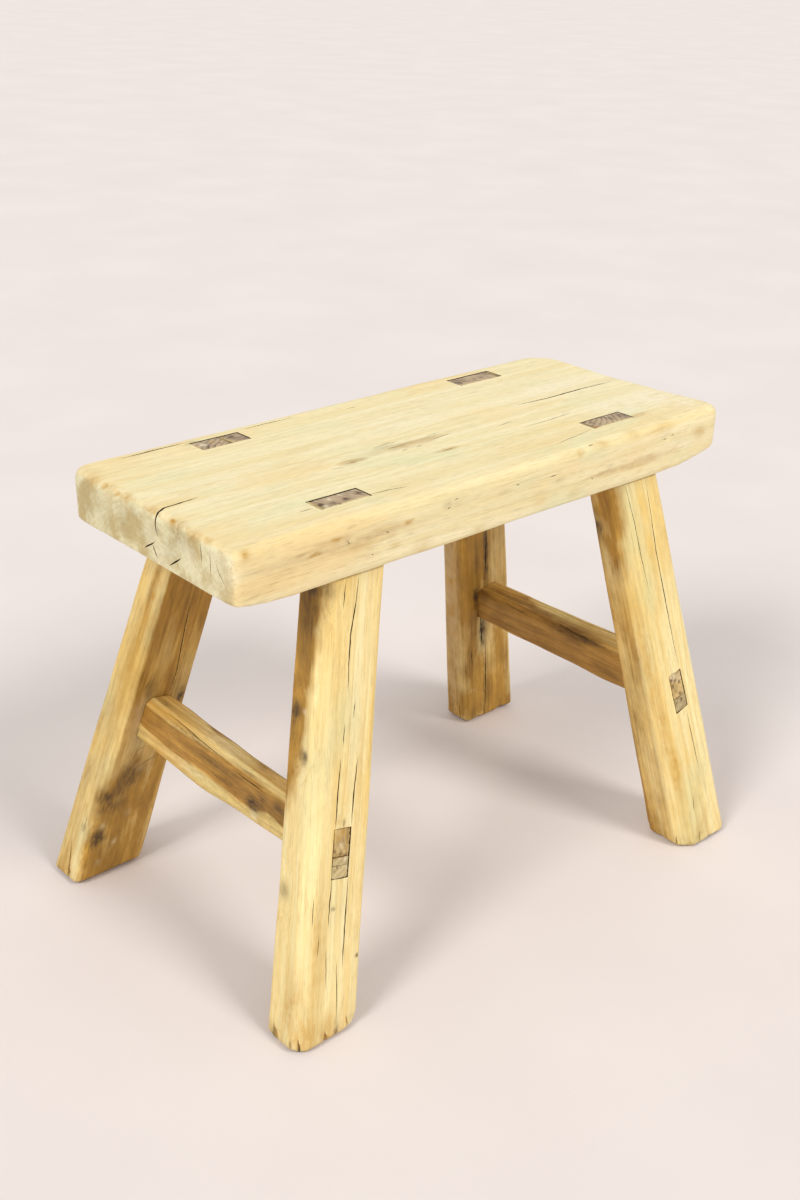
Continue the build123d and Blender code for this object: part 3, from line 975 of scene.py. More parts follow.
def open_cuts(piece, mortises, gap, cracks, chips):
    """Opens the mortises and the cracks, which get dirt and painted shade inside, and the bare
    chips.
    Gives how many cuts there are."""
    tree, name = tree_over(piece), piece.name
    tools = [mortise_cutter(f"{name}_mortise_{i}", axis, halves, gap, MORTISE_SEED + i)
             for i, (axis, halves) in enumerate(mortises)]
    tools += [crack_blade(tree, f"{name}_crack_{i}", line, width, depth, CRACK_SEED + i)
              for i, (line, width, depth) in enumerate(cracks)]
    gouges = [crack_blade(tree, f"{name}_chip_{i}", line, width, depth, CHIP_SEED + i,
                          runs_out=True)
              for i, (line, width, depth) in enumerate(chips)]
    for _ in (BARE_SLOT, DIRT_AND_SHADE_SLOT):
        piece.data.materials.append(None)
    count = 0
    for blades, slot in ((gouges, BARE_SLOT), (tools, DIRT_AND_SHADE_SLOT)):
        blades = [b for b in blades if b is not None]
        if blades:
            cut(piece, blades, slot)
        count += len(blades)
    return count


# %% Making a worn piece
UNEVEN_LONG, UNEVEN_SHORT = 62.0, 14.0      # how far apart the swells lie, in mm
SEAT_SWELL, LEG_SWELL, TENON_SWELL = (0.35, 0.10), (0.30, 0.08), (0.30, 0.10)
CRISP_ANGLE = math.radians(48)


def unevenness(points, long_swell, short_swell):
    """How far the surface stands out, in mm. Pieces that meet flush swell alike."""
    return (long_swell * lumps(points, UNEVEN_LONG, seed=5)
            + short_swell * lumps(points, UNEVEN_SHORT, seed=6))


def worn_piece(name, node, voxel, wear_of, swell_of, guests=(), cracks=(), dents=(),
               chips=(), gap=0.0):
    """A finely meshed, worn copy of a CAD node with its mortises and cracks cut."""
    piece, mortises = closed_copy(name, node, guests)
    remesh = piece.modifiers.new("even_skin", "REMESH")
    remesh.mode, remesh.voxel_size = "VOXEL", voxel * MM
    settle(piece)
    wear_of(piece.data)
    points, facing = points_of(piece.data), normals_of(piece.data)
    points = points + facing * swell_of(points, facing)[:, None]
    points[:, 2] = np.maximum(points[:, 2], 0)
    move_points(piece.data, points)
    press_dents(piece, points, dents)
    cuts = open_cuts(piece, mortises, gap, cracks, chips)
    piece.data.set_sharp_from_angle(angle=CRISP_ANGLE)
    print(name, "faces", len(piece.data.polygons), "cuts", cuts)
    return piece


def finish_piece(piece, node, finish):
    """Gives the piece its wood, and lets it stand for its CAD node."""
    piece.data.materials[BARE_SLOT] = finish
    piece.data.materials[DIRT_AND_SHADE_SLOT] = crack_dirt_and_shade
    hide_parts(node)
    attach(piece, "root")


# %% [markdown]
# ## The seat
# A thick plank sawn from close beside the pith, so each end has split near its
# centre line. Its front top arris is worn to a broad soft band, and its left
# end still shows the saw. The marks below are the splits, short surface checks,
# nicks, dents and stains that the photograph shows, each placed by its pixels.

# %% Marks on the seat
# A crack, a nick or a chip is a line of pixels, with a width and a depth in mm.
# A dent is a pixel, with a radius and a depth in mm.
SEAT_CRACKS = [
    ([(199, 497), (180, 503), (164, 508), (157, 514), (155.3, 521), (155.6, 529), (158, 537)],
     1.1, 9.0),
    ([(517, 405), (548, 398), (580, 389), (613, 381)], 1.0, 7.0),
    ([(120, 459), (147, 452), (184, 443)], 1.0, 6.0),
    ([(240, 430), (264, 424), (294, 417)], 0.7, 4.0),
    ([(296, 513), (315, 508)], 0.6, 2.5),
    ([(367, 495), (388, 490), (409, 486)], 0.7, 3.0),
    ([(525, 427), (549, 420), (573, 412)], 0.6, 2.0),
    ([(556, 444), (574, 437), (592, 429)], 0.6, 2.0),
    ([(144, 548), (155, 542)], 1.0, 4.0),
    ([(169, 566), (182, 558)], 1.0, 4.0),
    ([(152, 543), (155, 551), (158, 559)], 0.8, 4.0),
    ([(200, 543), (202, 565)], 0.6, 2.5),
    ([(210, 552), (211, 580)], 0.5, 2.0),
    ([(213, 558), (226, 590)], 0.5, 1.5),
]
SURFACE_CHECKS = [
    ((372, 448.5), (398, 441)), ((384, 450), (416, 441)), ((379, 445), (392, 441.5)),
    ((424, 437), (440, 432)), ((430, 440), (452, 432.5)), ((443, 451), (455, 447)),
    ((341, 465), (362, 460)), ((345, 409), (357, 406.5)), ((498, 426), (512, 421)),
    ((401, 451), (409, 448.5)), ((416, 447), (423, 445)), ((331, 470), (344, 467)),
]
SEAT_NICKS = [
    ((347, 541), (350, 544)), ((386, 531), (389, 533)), ((371, 555), (374, 554)),
    ((454, 500), (459, 498)), ((447, 509), (451, 507)), ((550, 477), (557, 475)),
    ((591, 478), (593, 479)), ((663, 440), (667, 438)), ((671, 436), (674, 434)),
    ((516, 486), (520, 484)), ((588, 446), (593, 444)),
]
SEAT_DENTS = [
    ((96, 481), 3.0, 0.5), ((107, 486), 4.5, 0.7), ((119, 494), 2.5, 0.8),
    ((128, 498), 4.0, 0.4), ((174, 522), 2.6, 0.8), ((190, 531), 4.5, 0.7),
    ((207, 541), 2.6, 0.6), ((229, 551), 3.5, 0.4), ((348, 541), 2.6, 0.8),
    ((667, 438), 4.0, 0.8), ((689, 429), 2.5, 0.7), ((332, 497), 2.5, 0.7),
    ((576, 453), 3.0, 0.6), ((709, 409), 5.0, 1.2),
]
SEAT_STAINS = {
    ORANGE: [((95, 480), 5, 6, .45), ((105, 486), 3.4, 3, .7), ((109, 490), 5, 7, .5),
        ((118, 494), 2.4, 2.6, .85), ((126, 497), 4, 6, .5), ((152, 508), 3, 6, .25),
        ((173, 521), 2.2, 2, .85), ((177, 524), 5, 7, .45), ((193, 534), 3, 8, .45),
        ((199, 536), 2.2, 3, .6), ((208, 541), 2.6, 4, .55), ((228, 549), 4, 8, .3),
        ((88, 470), 6, 10, .25), ((245, 555), 4, 4, .5), ((638, 415), 12, 4, .5),
        ((632, 433), 7, 5, .4), ((580, 453), 5, 3, .5), ((575, 492), 7, 4, .35),
        ((422, 546), 8, 5, .45), ((315, 555), 5, 1.3, .9), ((336, 540), 5, 1.3, .9),
        ((409, 522), 4, 1.3, .9), ((480, 528), 7, 3, .4), ((540, 502), 6, 3, .35),
        ((700, 432), 7, 5, .5), ((395, 545), 5, 2.4, .4), ((600, 445), 9, 4, .45),
        ((245, 556), 2.6, 2.4, .9), ((664, 428), 12, 3, .35)],
    DARK: [((106, 486), 1.6, 1.6, .4), ((86, 500), 8, 16, .26), ((102, 512), 8, 14, .24),
        ((124, 520), 8, 11, .26), ((135, 513), 8, 9, .2), ((178, 535), 8, 11, .34),
        ((172, 550), 8, 9, .3), ((190, 545), 8, 8, .22), ((157, 530), 8, 4, .4),
        ((148, 532), 6, 10, .22), ((348, 542), 3, 3, .5), ((302, 556), 5, 1.4, .45),
        ((352, 527), 5, 1.2, .35), ((448, 505), 4, 3, .35), ((505, 492), 6, 1.6, .3),
        ((560, 480), 5, 1.6, .35), ((610, 466), 4, 1.4, .35), ((384, 447), 12, 1.6, .42),
        ((430, 437), 10, 1.6, .42), ((384, 450), 18, 5, .14), ((192, 443), 6, 3, .5),
        ((318, 506), 3, 3, .4), ((586, 424), 6, 2, .3), ((355, 537), 40, 5, .1),
        ((455, 503), 10, 5, .15), ((634, 417), 4, 1.6, .3), ((330, 550), 60, 2.6, .28)],
    BLEACHED: [((160, 556), 4, 9, .5), ((222, 572), 6, 14, .45), ((215, 590), 6, 8, .35),
        ((190, 560), 6, 10, .35), ((230, 480), 40, 12, .35), ((470, 392), 70, 14, .45),
        ((640, 400), 60, 20, .75), ((560, 385), 70, 16, .6), ((690, 400), 30, 16, .6),
        ((400, 420), 60, 20, .4), ((330, 575), 30, 8, .2)],
    BROWN: [((92, 500), 6, 18, .35), ((130, 518), 6, 20, .25), ((165, 540), 6, 16, .4),
        ((150, 528), 6, 14, .5), ((330, 545), 30, 4, .25), ((640, 462), 60, 4, .3),
        ((410, 444), 34, 6, .34), ((262, 590), 40, 14, .15), ((350, 462), 14, 4, .4),
        ((448, 449), 12, 3, .4), ((380, 536), 50, 7, .3)],
}

# %% The seat's wear
SEAT_VOXEL = 1.4          # the size of its skin's faces, in mm
PLAIN_WEAR, TOP_ARRIS_WEAR, LOWER_ARRIS_WEAR = 0.07, 0.9, 0.2
TOP_ARRIS_REACH, LOWER_ARRIS_REACH = 12.0, 9.0      # how far in from its edge, in mm
CRISP_CORNER = (6.0, 34.0)      # the front left corner kept its edge: mm from the left end
ROUGH_SWELL = 0.25        # of the underside and the ends, in mm
UNDERSIDE_DIRT = 0.20
seat_points = points_of(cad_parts["seat"].data)
seat_low, seat_high = seat_points.min(axis=0), seat_points.max(axis=0)
seat_origin = np.array((seat_low + seat_high) / 2)
PITH_IN_SEAT = np.array((6.0, -46.0))


def wear_seat(mesh):
    """A little everywhere, most along the front top arris, and some along the lower one."""
    points = points_of(mesh)
    front = np.hypot(points[:, 1] - seat_low[1], points[:, 2] - seat_high[2])
    below = np.hypot(points[:, 1] - seat_low[1], points[:, 2] - seat_low[2])
    past_corner = smooth_step(points[:, 0] - seat_low[0], *CRISP_CORNER)
    weight = (PLAIN_WEAR + TOP_ARRIS_WEAR * bell(front, TOP_ARRIS_REACH) * past_corner
              + LOWER_ARRIS_WEAR * bell(below, LOWER_ARRIS_REACH) * past_corner)
    wear(mesh, rounds=24, weight=weight * (0.75 + 0.35 * lumps(points, size=28, seed=12)))


def swell_seat(points, facing):
    """Broad plane marks on top, and a little more under the seat and at the ends."""
    rougher = (smooth_step(-facing[:, 2], low=0.5, high=0.8)
               + smooth_step(np.abs(facing[:, 0]), low=0.6, high=0.9))
    long_lumps = lumps(points * (1, 2.5, 2.5), size=22, seed=14)
    return unevenness(points, *SEAT_SWELL) + rougher * ROUGH_SWELL * long_lumps


def seat_grime(points, facing):
    """The underside was never scrubbed."""
    under = UNDERSIDE_DIRT * smooth_step(-facing[:, 2], low=0.6, high=0.9)
    return under * (1 + 0.5 * lumps(points, size=40, seed=15))


# %% The seat
HAIR_WIDTH, HAIR_DEPTH = 0.75, 1.2
NICK_WIDTH, NICK_DEPTH = 0.9, 0.9
SEAT_GAP = 0.08           # how far the walls of its mortises stand back, in mm

hair_cracks = [([a, b], HAIR_WIDTH, HAIR_DEPTH) for a, b in SURFACE_CHECKS]
nick_cuts = [([a, b], NICK_WIDTH, NICK_DEPTH) for a, b in SEAT_NICKS]
seat = worn_piece("seat_plank", "seat", SEAT_VOXEL, wear_seat, swell_seat,
                  guests=[(f"leg_{place}", f"seat_wedge_{place}") for place in LEGS],
                  cracks=SEAT_CRACKS + hair_cracks + nick_cuts, dents=SEAT_DENTS,
                  gap=SEAT_GAP)
dress(seat, seat_origin, grain_axes((1, 0, 0), (0, 1, 0)), PITH_IN_SEAT,
      SEAT_STAINS, seat_grime)
finish_piece(seat, "seat", seat_elm)

# %% [markdown]
# ## The legs
# Each leg was split from a small log and hewn, so its rings run close to its
# faces and show as long lines, sometimes pointed like a flame. Knots stand in
# the left front leg's side. The feet have lost their edges on hard floors: they
# are rounded, chipped and split. The long drying cracks run with the leg.

# %% Marks on the legs
LEG_CRACKS = {
    "front_left": [
        ([(359, 576), (355, 610), (351, 632), (349, 660), (348, 692)], 0.8, 5.0),
        ([(346, 581), (343, 610)], 0.6, 3.0), ([(355, 701), (353, 719)], 0.6, 2.5),
        ([(345, 722), (343, 747)], 0.6, 2.5),
        ([(341, 758), (338, 792), (335.5, 828)], 0.85, 4.5),
        ([(358, 756), (354, 792), (351, 826)], 0.85, 4.5),
        ([(332, 877), (330, 900), (328, 928)], 0.75, 4.0),
        ([(348, 876), (345, 920), (342, 968)], 0.85, 4.0),
        ([(314, 896), (312, 930)], 0.5, 2.5), ([(319, 936), (317, 960)], 0.5, 2.5),
        ([(326, 947), (326, 992)], 0.5, 2.5),
        ([(336, 961), (337, 999), (336, 1021)], 0.6, 3.0),
    ],
    "front_right": [
        ([(625, 485), (634, 520), (641, 556), (650, 595)], 0.55, 3.5),
        ([(645, 477), (651, 515), (656, 550), (665, 598), (674, 645), (679, 668)], 0.7, 4.0),
        ([(686, 709), (692, 737), (699, 769)], 0.6, 3.5),
        ([(693, 795), (694, 812)], 0.5, 2.5),
    ],
    "back_left": [
        ([(191, 600), (184, 633), (177, 670), (169, 694)], 0.75, 4.0),
        ([(143, 693), (148, 685), (153, 678)], 0.7, 2.5),
        ([(131, 772), (146, 761), (162, 752)], 0.6, 1.2), ([(136, 752), (146, 745)], 0.5, 1.0),
        ([(88, 812), (86, 822), (84, 832)], 0.5, 1.0),
    ],
    "back_right": [
        ([(486.5, 530), (485.7, 550), (485, 575), (484, 582)], 1.0, 5.0),
        ([(480.5, 614), (481, 630), (482, 647)], 1.2, 4.0),
        ([(485.5, 640), (485.3, 680), (485.0, 718)], 0.9, 4.0),
        ([(471, 649), (472.5, 666)], 0.7, 2.5),
    ],
}
LEG_CHIPS = {
    "front_left": [([(274, 1022), (275, 1032), (276, 1040)], 5.0, 4.0),
                   ([(298, 1040), (299, 1054)], 3.6, 3.0), ([(325, 1032), (326, 1048)], 4.4, 3.5),
                   ([(346, 1014), (348, 1030)], 3.4, 3.0), ([(312, 1046), (312, 1056)], 3.0, 2.0)],
    "front_right": [([(655, 828), (656, 842)], 3.0, 2.5), ([(676, 836), (677, 849)], 2.6, 2.5),
                    ([(699, 830), (700, 843)], 2.6, 2.5)],
    "back_left": [([(72, 838), (70, 860), (68, 880)], 2.4, 6.0), ([(84, 876), (84, 889)], 2.6, 3.0),
                  ([(112, 870), (112, 882)], 3.0, 2.5)],
    "back_right": [([(459, 704), (460, 716)], 2.8, 2.5), ([(484, 702), (484, 718)], 2.2, 2.5)],
}
LEG_STAINS = {
    "front_left": {
        ORANGE: [((366, 493), 3, 2, .8), ((338, 820), 4, 3, .5), ((343, 843), 8, 6, .25),
            ((292, 1010), 34, 10, .6), ((325, 1035), 18, 12, .65), ((318, 960), 60, 6, .5),
            ((305, 1035), 20, 12, .65), ((294, 770), 30, 6, .2)],
        # The dark marks at (310, 575), (311, 605) and (305, 645) are painted shade where the seat
        # shadows the top of the left side, over darker wood.
        DARK: [((310, 575), 36, 9, .8), ((292, 690), 15, 5, .5), ((294, 722), 12, 5, .5),
            ((311, 605), 28, 8, .6), ((305, 645), 30, 7, .45), ((325, 590), 6, 5, .55),
            ((320, 505), 3, 2.6, .9), ((322, 497), 3, 2, .85), ((346, 499), 3, 2.8, .75),
            ((358, 493), 3, 3, .85), ((334, 503), 3, 2.6, .8), ((340, 504), 3, 1.4, .8),
            ((311, 500), 3, 1.2, .7), ((297, 708), 8, 6, .8), ((304, 757), 6, 4, .8),
            ((284, 890), 7, 6, .5), ((300, 735), 22, 7, .22), ((333, 909), 1.6, 1.6, .9),
            ((357, 955), 1.6, 1.6, .9), ((299, 1051), 4, 2.2, .9), ((325, 1044), 4, 2.4, .9),
            ((274, 1035), 6, 2, .9), ((336, 1030), 9, 2, .6), ((290, 1048), 5, 1.4, .6),
            ((313, 1048), 4, 1.4, .7), ((333.5, 842), 1.2, 1.1, .9), ((333, 848), 1.2, 1.2, .9),
            ((332.5, 854), 1.2, 1.2, .9), ((332, 868), 1.2, 1.2, .9), ((331.5, 874), 1.2, 1.3, .9),
            ((344, 823), 3, 1, .8), ((340, 905), 14, 8, .12), ((352, 1010), 12, 5, .15)],
        BLEACHED: [((356, 750), 190, 7, .22), ((352, 930), 90, 8, .2), ((329, 499.5), 3, 1.6, .8),
            ((340, 495), 3, 1.8, .5), ((352, 490), 3, 2, .5), ((326, 506), 3, 2.2, .6),
            ((305, 712), 2, 1.8, .6)],
        # The brown mark at (306, 600) is partly painted shade under the seat, partly brown wood.
        BROWN: [((306, 600), 60, 13, 1), ((298, 690), 60, 10, .9), ((290, 740), 40, 8, .8)],
    },
    "front_right": {
        ORANGE: [((595, 427), 3, 2, .8), ((645, 650), 55, 4, .55), ((662, 720), 50, 4, .55),
            ((676, 770), 30, 5, .6), ((684, 815), 20, 6, .3), ((632, 620), 70, 8, .3),
            ((618, 500), 30, 6, .25), ((700, 830), 12, 6, .28)],
        DARK: [((592, 423), 3, 2.4, .8), ((612, 419), 3, 2.4, .6), ((628, 414), 3, 2.8, .85),
            ((583, 423), 3, 2.2, .75), ((600, 424), 3, 1.6, .7), ((598, 525), 16, 6, .6),
            ((604, 550), 18, 6, .22), ((660, 770), 40, 3, .14), ((696, 800), 8, 5, .22),
            ((683, 696), 3, 3, .5), ((618, 600), 30, 4, .12)],
        BLEACHED: [((606, 416), 3, 2, .6), ((618, 413), 3, 1.8, .5)],
        BROWN: [((603, 500), 60, 12, .85), ((612, 570), 60, 10, .3)],
    },
    "back_left": {
        ORANGE: [((212, 442), 3, 2.6, .4), ((141, 720), 22, 9, .45), ((149, 605), 60, 5, .65),
            ((118, 700), 60, 5, .45), ((128, 800), 14, 10, .35), ((104, 862), 12, 12, .35),
            ((150, 800), 24, 8, .3), ((165, 620), 40, 10, .25), ((75, 850), 20, 8, .25),
            ((78, 812), 16, 8, .22)],
        DARK: [((192, 442), 3, 3.6, .9), ((199, 441), 3, 2.2, .8), ((213, 438), 3, 3, .5),
            ((232, 437), 3, 3, .65), ((243, 434), 3, 2.5, .7), ((222, 436), 3, 2.5, .6),
            ((208, 447), 3, 1.4, .8), ((220, 443), 3, 1.4, .7), ((129, 776), 13, 11, .85),
            ((117, 797), 18, 11, .75), ((97, 838), 11, 8, .85), ((108, 818), 12, 5, .5),
            ((84, 828), 4, 3, .6), ((150, 690), 9, 5, .5), ((112, 815), 14, 12, .3),
            ((105, 858), 16, 14, .26), ((150, 592), 8, 2, .5), ((180, 694), 7, 4, .8),
            ((106, 800), 14, 8, .75), ((98, 852), 30, 6, .28), ((112, 845), 30, 14, .18),
            ((118, 792), 26, 14, .4)],
        BLEACHED: [((203, 445), 3, 2.4, .8), ((238, 432), 3, 2, .5), ((141, 718), 18, 9, .55),
            ((103, 826), 3, 2.6, .42), ((114, 841), 2.6, 1.8, .42), ((98, 862), 3, 2.4, .3),
            ((140, 768), 3, 4, .25), ((128, 812), 4, 3, .25)],
        BROWN: [((170, 620), 60, 20, .45), ((122, 800), 44, 24, .85), ((152, 600), 60, 7, .35),
            ((128, 680), 60, 7, .2), ((100, 760), 50, 6, .25), ((140, 790), 30, 10, .5),
            ((150, 600), 60, 5, .45), ((92, 850), 30, 8, .9)],
    },
    "back_right": {
        ORANGE: [((451, 600), 110, 8, .72), ((470, 600), 50, 8, .3), ((500, 690), 26, 6, .25),
            ((455, 650), 40, 5, .25), ((498, 560), 22, 6, .3)],
        DARK: [((482, 630), 22, 5, .75), ((485.5, 552), 40, 3, .8), ((485, 690), 34, 4, .45),
            ((483, 600), 26, 4.5, .75), ((476, 597), 13, 4, 1), ((476, 560), 30, 2.4, .5),
            ((473, 600), 60, 7, .3), ((491, 371.5), 3, 2.6, .9), ((460, 383), 3, 2.2, .75),
            ((474, 379), 3, 1.8, .7), ((452, 380), 3, 2.8, .8), ((481, 377), 3, 1.6, .7),
            ((471, 657), 14, 3, .4), ((475, 712), 9, 9, .45), ((494, 662), 8, 5, .2),
            ((478, 690), 30, 5, .25), ((473, 704), 20, 13, .24)],
        BLEACHED: [((451, 600), 110, 7.5, .6), ((465, 377), 3, 2.2, .5), ((478, 373), 3, 2, .4)],
        BROWN: [((472, 590), 90, 7, .8), ((473, 665), 50, 8, .75), ((484, 680), 50, 5, .7),
            ((472, 704), 22, 18, .85), ((479, 685), 44, 5.5, 1)],
    },
}
LEG_KNOTS = {
    "front_left": [((298, 711), 12, 9), ((304, 757), 7, 5), ((330, 592), 7, 5),
                   ((284, 890), 8, 6)],
    "front_right": [((598, 522), 10, 7)],
    "back_left": [((128, 790), 14, 9), ((95, 842), 9, 6)],
    "back_right": [((482, 628), 9, 5)],
}
LEG_DENTS = {
    "front_left": [((278, 1034), 3.5, 2.4), ((298, 1052), 3.5, 2.0), ((325, 1050), 4.0, 1.8),
                   ((352, 1020), 4.0, 1.4), ((296, 706), 4.0, 0.9), ((304, 757), 3.0, 0.8),
                   ((333, 909), 1.8, 0.9), ((316, 600), 7.0, 0.7)],
    "front_right": [((664, 838), 5.0, 1.2), ((700, 838), 5.0, 1.2), ((690, 845), 4.0, 1.0),
                    ((598, 524), 5.0, 0.8)],
    "back_left": [((151, 806), 4.0, 1.6), ((68, 872), 3.0, 2.0), ((80, 884), 4.0, 1.2),
                  ((132, 790), 6.0, 0.9), ((97, 842), 5.0, 0.8), ((120, 868), 5.0, 0.8)],
    "back_right": [((486, 560), 3.0, 0.8), ((482, 630), 4.0, 1.2), ((485, 690), 3.0, 0.8),
                   ((452, 706), 5.0, 1.4), ((500, 706), 5.0, 1.2)],
}
# Where each leg's pith lies, across it and through it, in mm
LEG_PITH = {"front_left": (34.0, 16.0), "front_right": (-30.0, 24.0),
            "back_left": (20.0, -34.0), "back_right": (-14.0, -30.0)}
# How much brown heartwood a leg shows everywhere, and how much painted shade darkens its inner
# faces
LEG_HEART_AND_SHADE = {"front_left": (0.03, 0.56), "front_right": (0.08, 0.34),
                "back_left": (0.24, 0.38), "back_right": (0.28, 0.26)}

# %% Legs
LEG_VOXEL = 1.15
LEG_GAP = 0.17
LEG_WEAR, LEG_WEAR_SWING, FOOT_WEAR = 0.12, 0.10, 0.06
FOOT_WEAR_HEIGHT = 8.0
CHIPPED_HEIGHT, CHIP_DEPTH = 9.0, 1.5
HEWN_DEPTH, HEWN_STRETCH = 0.25, (1, 1, 0.45)       # an axe's hollows are longer than wide
SHOULDER = seat_low[2]
STRETCHED_BY = {"front_left": ("stretcher_left", "stretcher_wedge_front_left_upper",
                               "stretcher_wedge_front_left_lower"),
                "front_right": ("stretcher_right", "stretcher_wedge_front_right"),
                "back_left": ("stretcher_left", "stretcher_wedge_back_left"),
                "back_right": ("stretcher_right", "stretcher_wedge_back_right")}


def wear_leg(mesh):
    """Light on the arrises, a little more at the foot, and none on the tenon."""
    points = points_of(mesh)
    weight = (LEG_WEAR + LEG_WEAR_SWING * lumps(points, size=34, seed=21)
              + bell(points[:, 2], FOOT_WEAR_HEIGHT) * FOOT_WEAR)
    below_seat = smooth_step(SHOULDER - points[:, 2], low=-0.5, high=4.0)
    wear(mesh, rounds=9, weight=weight * below_seat)


def swell_leg(points, facing):
    """Hewn hollows along the leg, chips at the foot, and still tenon sides."""
    height = points[:, 2]
    hewn = HEWN_DEPTH * lumps(points * HEWN_STRETCH, size=20, seed=22)
    foot = np.exp(-height / CHIPPED_HEIGHT)
    chips = np.minimum(lumps(points, size=6.0, seed=23) - 0.15, 0) * CHIP_DEPTH * foot
    body = unevenness(points, *LEG_SWELL) + hewn + chips
    amount = np.where(height > SHOULDER + 1, unevenness(points, *SEAT_SWELL), body)
    still = (height > SHOULDER - 2) & (facing[:, 2] < 0.7)
    return np.where(still, 0.0, amount)


leg_pieces = {}
for place in LEGS:
    node = f"leg_{place}"
    leg_pieces[place] = worn_piece(f"{node}_hewn", node, LEG_VOXEL, wear_leg, swell_leg,
                                   guests=[STRETCHED_BY[place]], cracks=LEG_CRACKS[place],
                                   dents=LEG_DENTS[place], chips=LEG_CHIPS[place],
                                   gap=LEG_GAP)

# %% The legs' grain
# The corner values paint a thin line of shade where each leg meets the seat.
UNDER_FOOT_DIRT, LOW_DIRT, CORNER_SHADE = 0.35, 0.16, 0.75
LOW_DIRT_HEIGHT, CORNER_SHADE_HEIGHT = 7.0, 1.3
BROWN_FOOT, BROWN_FOOT_HEIGHT = 0.22, 22.0


def dirt_and_shade_of_leg(points, facing):
    """Dirt gathers under the foot and low on its sides, and painted shade darkens the corner under
    the seat.
    """
    under = smooth_step(-facing[:, 2], low=0.6, high=0.95) * UNDER_FOOT_DIRT
    low = LOW_DIRT * np.exp(-points[:, 2] / LOW_DIRT_HEIGHT)
    # Painted shade: a thin dark line where the leg meets the seat's underside.
    corner = CORNER_SHADE * bell(points[:, 2] - SHOULDER, CORNER_SHADE_HEIGHT)
    return np.maximum(np.maximum(under, low), corner)


def heart_and_shade_of_leg(everywhere, inside):
    """A function that says where brown shows on a leg: its heartwood, and painted shade on its
    inner faces.
    """
    def heart(points, grain, facing):
        """Brown shows in streaks. The extra brown on the faces turned to the stool's middle, more
        so up under the seat, is painted shade.
        """
        inward = -points * (0.5, 1, 0)
        inward /= np.linalg.norm(inward, axis=1)[:, None]
        # Painted shade: the faces turned inward, and their upper part under the seat, get more
        # brown.
        shaded_faces = smooth_step((inward * facing).sum(axis=1), low=0.25, high=0.75)
        upper = smooth_step(points[:, 2], low=120, high=260)
        amount = everywhere + inside * shaded_faces * (1 + 0.3 * upper)
        amount += BROWN_FOOT * np.exp(-points[:, 2] / BROWN_FOOT_HEIGHT)
        streaks = lumps(grain / (7, 1, 1), size=11, seed=31)
        return np.clip(amount * (1 + 0.7 * streaks), 0, 1)
    return heart


for place in LEGS:
    node = f"leg_{place}"
    dress(leg_pieces[place], frame_line[node][0], grain_axes(frame_axis[node], (1, 0, 0)),
          LEG_PITH[place], LEG_STAINS[place], dirt_and_shade_of_leg, LEG_KNOTS[place],
          heart_and_shade_of_leg(*LEG_HEART_AND_SHADE[place]))
    finish_piece(leg_pieces[place], node, leg_elm)

# %% [markdown]
# ## The stretchers
# The stretchers are split from thinner branches. The left one keeps a wavy pale
# sapwood edge below and above a pinkish brown heart. The right one is brown on
# its side and golden on top, with a long dark mark.

# %% Marks on the stretchers
STRETCHER_CRACKS = {
    "left": [([(165, 711), (185, 726), (205, 744)], 0.5, 1.5),
             ([(178, 722), (200, 740), (228, 762)], 0.5, 1.5),
             ([(205, 768), (232, 788)], 0.5, 1.2), ([(236, 772), (266, 794)], 0.7, 2.0)],
    "right": [([(556, 622), (580, 636), (606, 649)], 0.6, 2.0),
              ([(500, 600), (530, 617)], 0.5, 1.5), ([(520, 636), (552, 656)], 0.5, 1.2)],
}
STRETCHER_STAINS = {
    "left": {
        ORANGE: [((160, 718), 18, 5, .35), ((182, 722), 22, 5, .3), ((343, 832), 2, 2.2, .6),
            ((338, 838), 2, 2.4, .5)],
        DARK: [((255, 805), 12, 6, .8), ((262, 800), 10, 4, .6), ((142, 712), 6, 12, .5),
            ((215, 765), 30, 1.8, .6), ((190, 735), 30, 1.8, .6), ((276, 812), 10, 8, .7),
            ((165, 703), 16, 3, .55), ((230, 772), 24, 1.5, .6), ((172, 727), 24, 1.2, .5),
            ((200, 757), 24, 1.2, .5), ((238, 790), 20, 1.2, .5), ((248, 772), 18, 1.3, .5),
            ((334.5, 852), 2, 1.6, .8), ((340, 854), 2, 1.5, .7), ((346, 854), 2, 1.6, .8),
            ((337, 846), 2, 1, .5)],
        BLEACHED: [((225, 745), 26, 6, .35), ((254, 815), 4, 3, .6), ((138, 728), 8, 4, .4),
            ((190, 770), 24, 3, .3), ((341, 846), 2, 3, .4)],
    },
    "right": {
        ORANGE: [((512, 592), 18, 5, .4), ((560, 618), 40, 3, .5)],
        DARK: [((578, 636), 30, 3.6, .75), ((484, 594), 8, 12, .5), ((500, 610), 14, 5, .3),
            ((610, 672), 16, 7, .3), ((520, 602), 16, 1.8, .3), ((545, 612), 24, 2, .5),
            ((676, 689), 2, 3.4, .4), ((671, 681), 2, 1.7, .95), ((675, 680.5), 2, 1.4, .9),
            ((679, 681.5), 2, 1.6, .9), ((673, 687), 2, 1.9, .8), ((680, 693), 2, 2, .8),
            ((675, 693), 2, 1.4, .6)],
        BLEACHED: [((673, 676), 3, 4.5, .5), ((678, 677), 3, 4, .4)],
        BROWN: [((540, 622), 90, 10, .85), ((516, 598), 26, 7, .85)],
    },
}
STRETCHER_KNOTS = {"left": [((257, 808), 9, 7)], "right": [((575, 634), 8, 4)]}

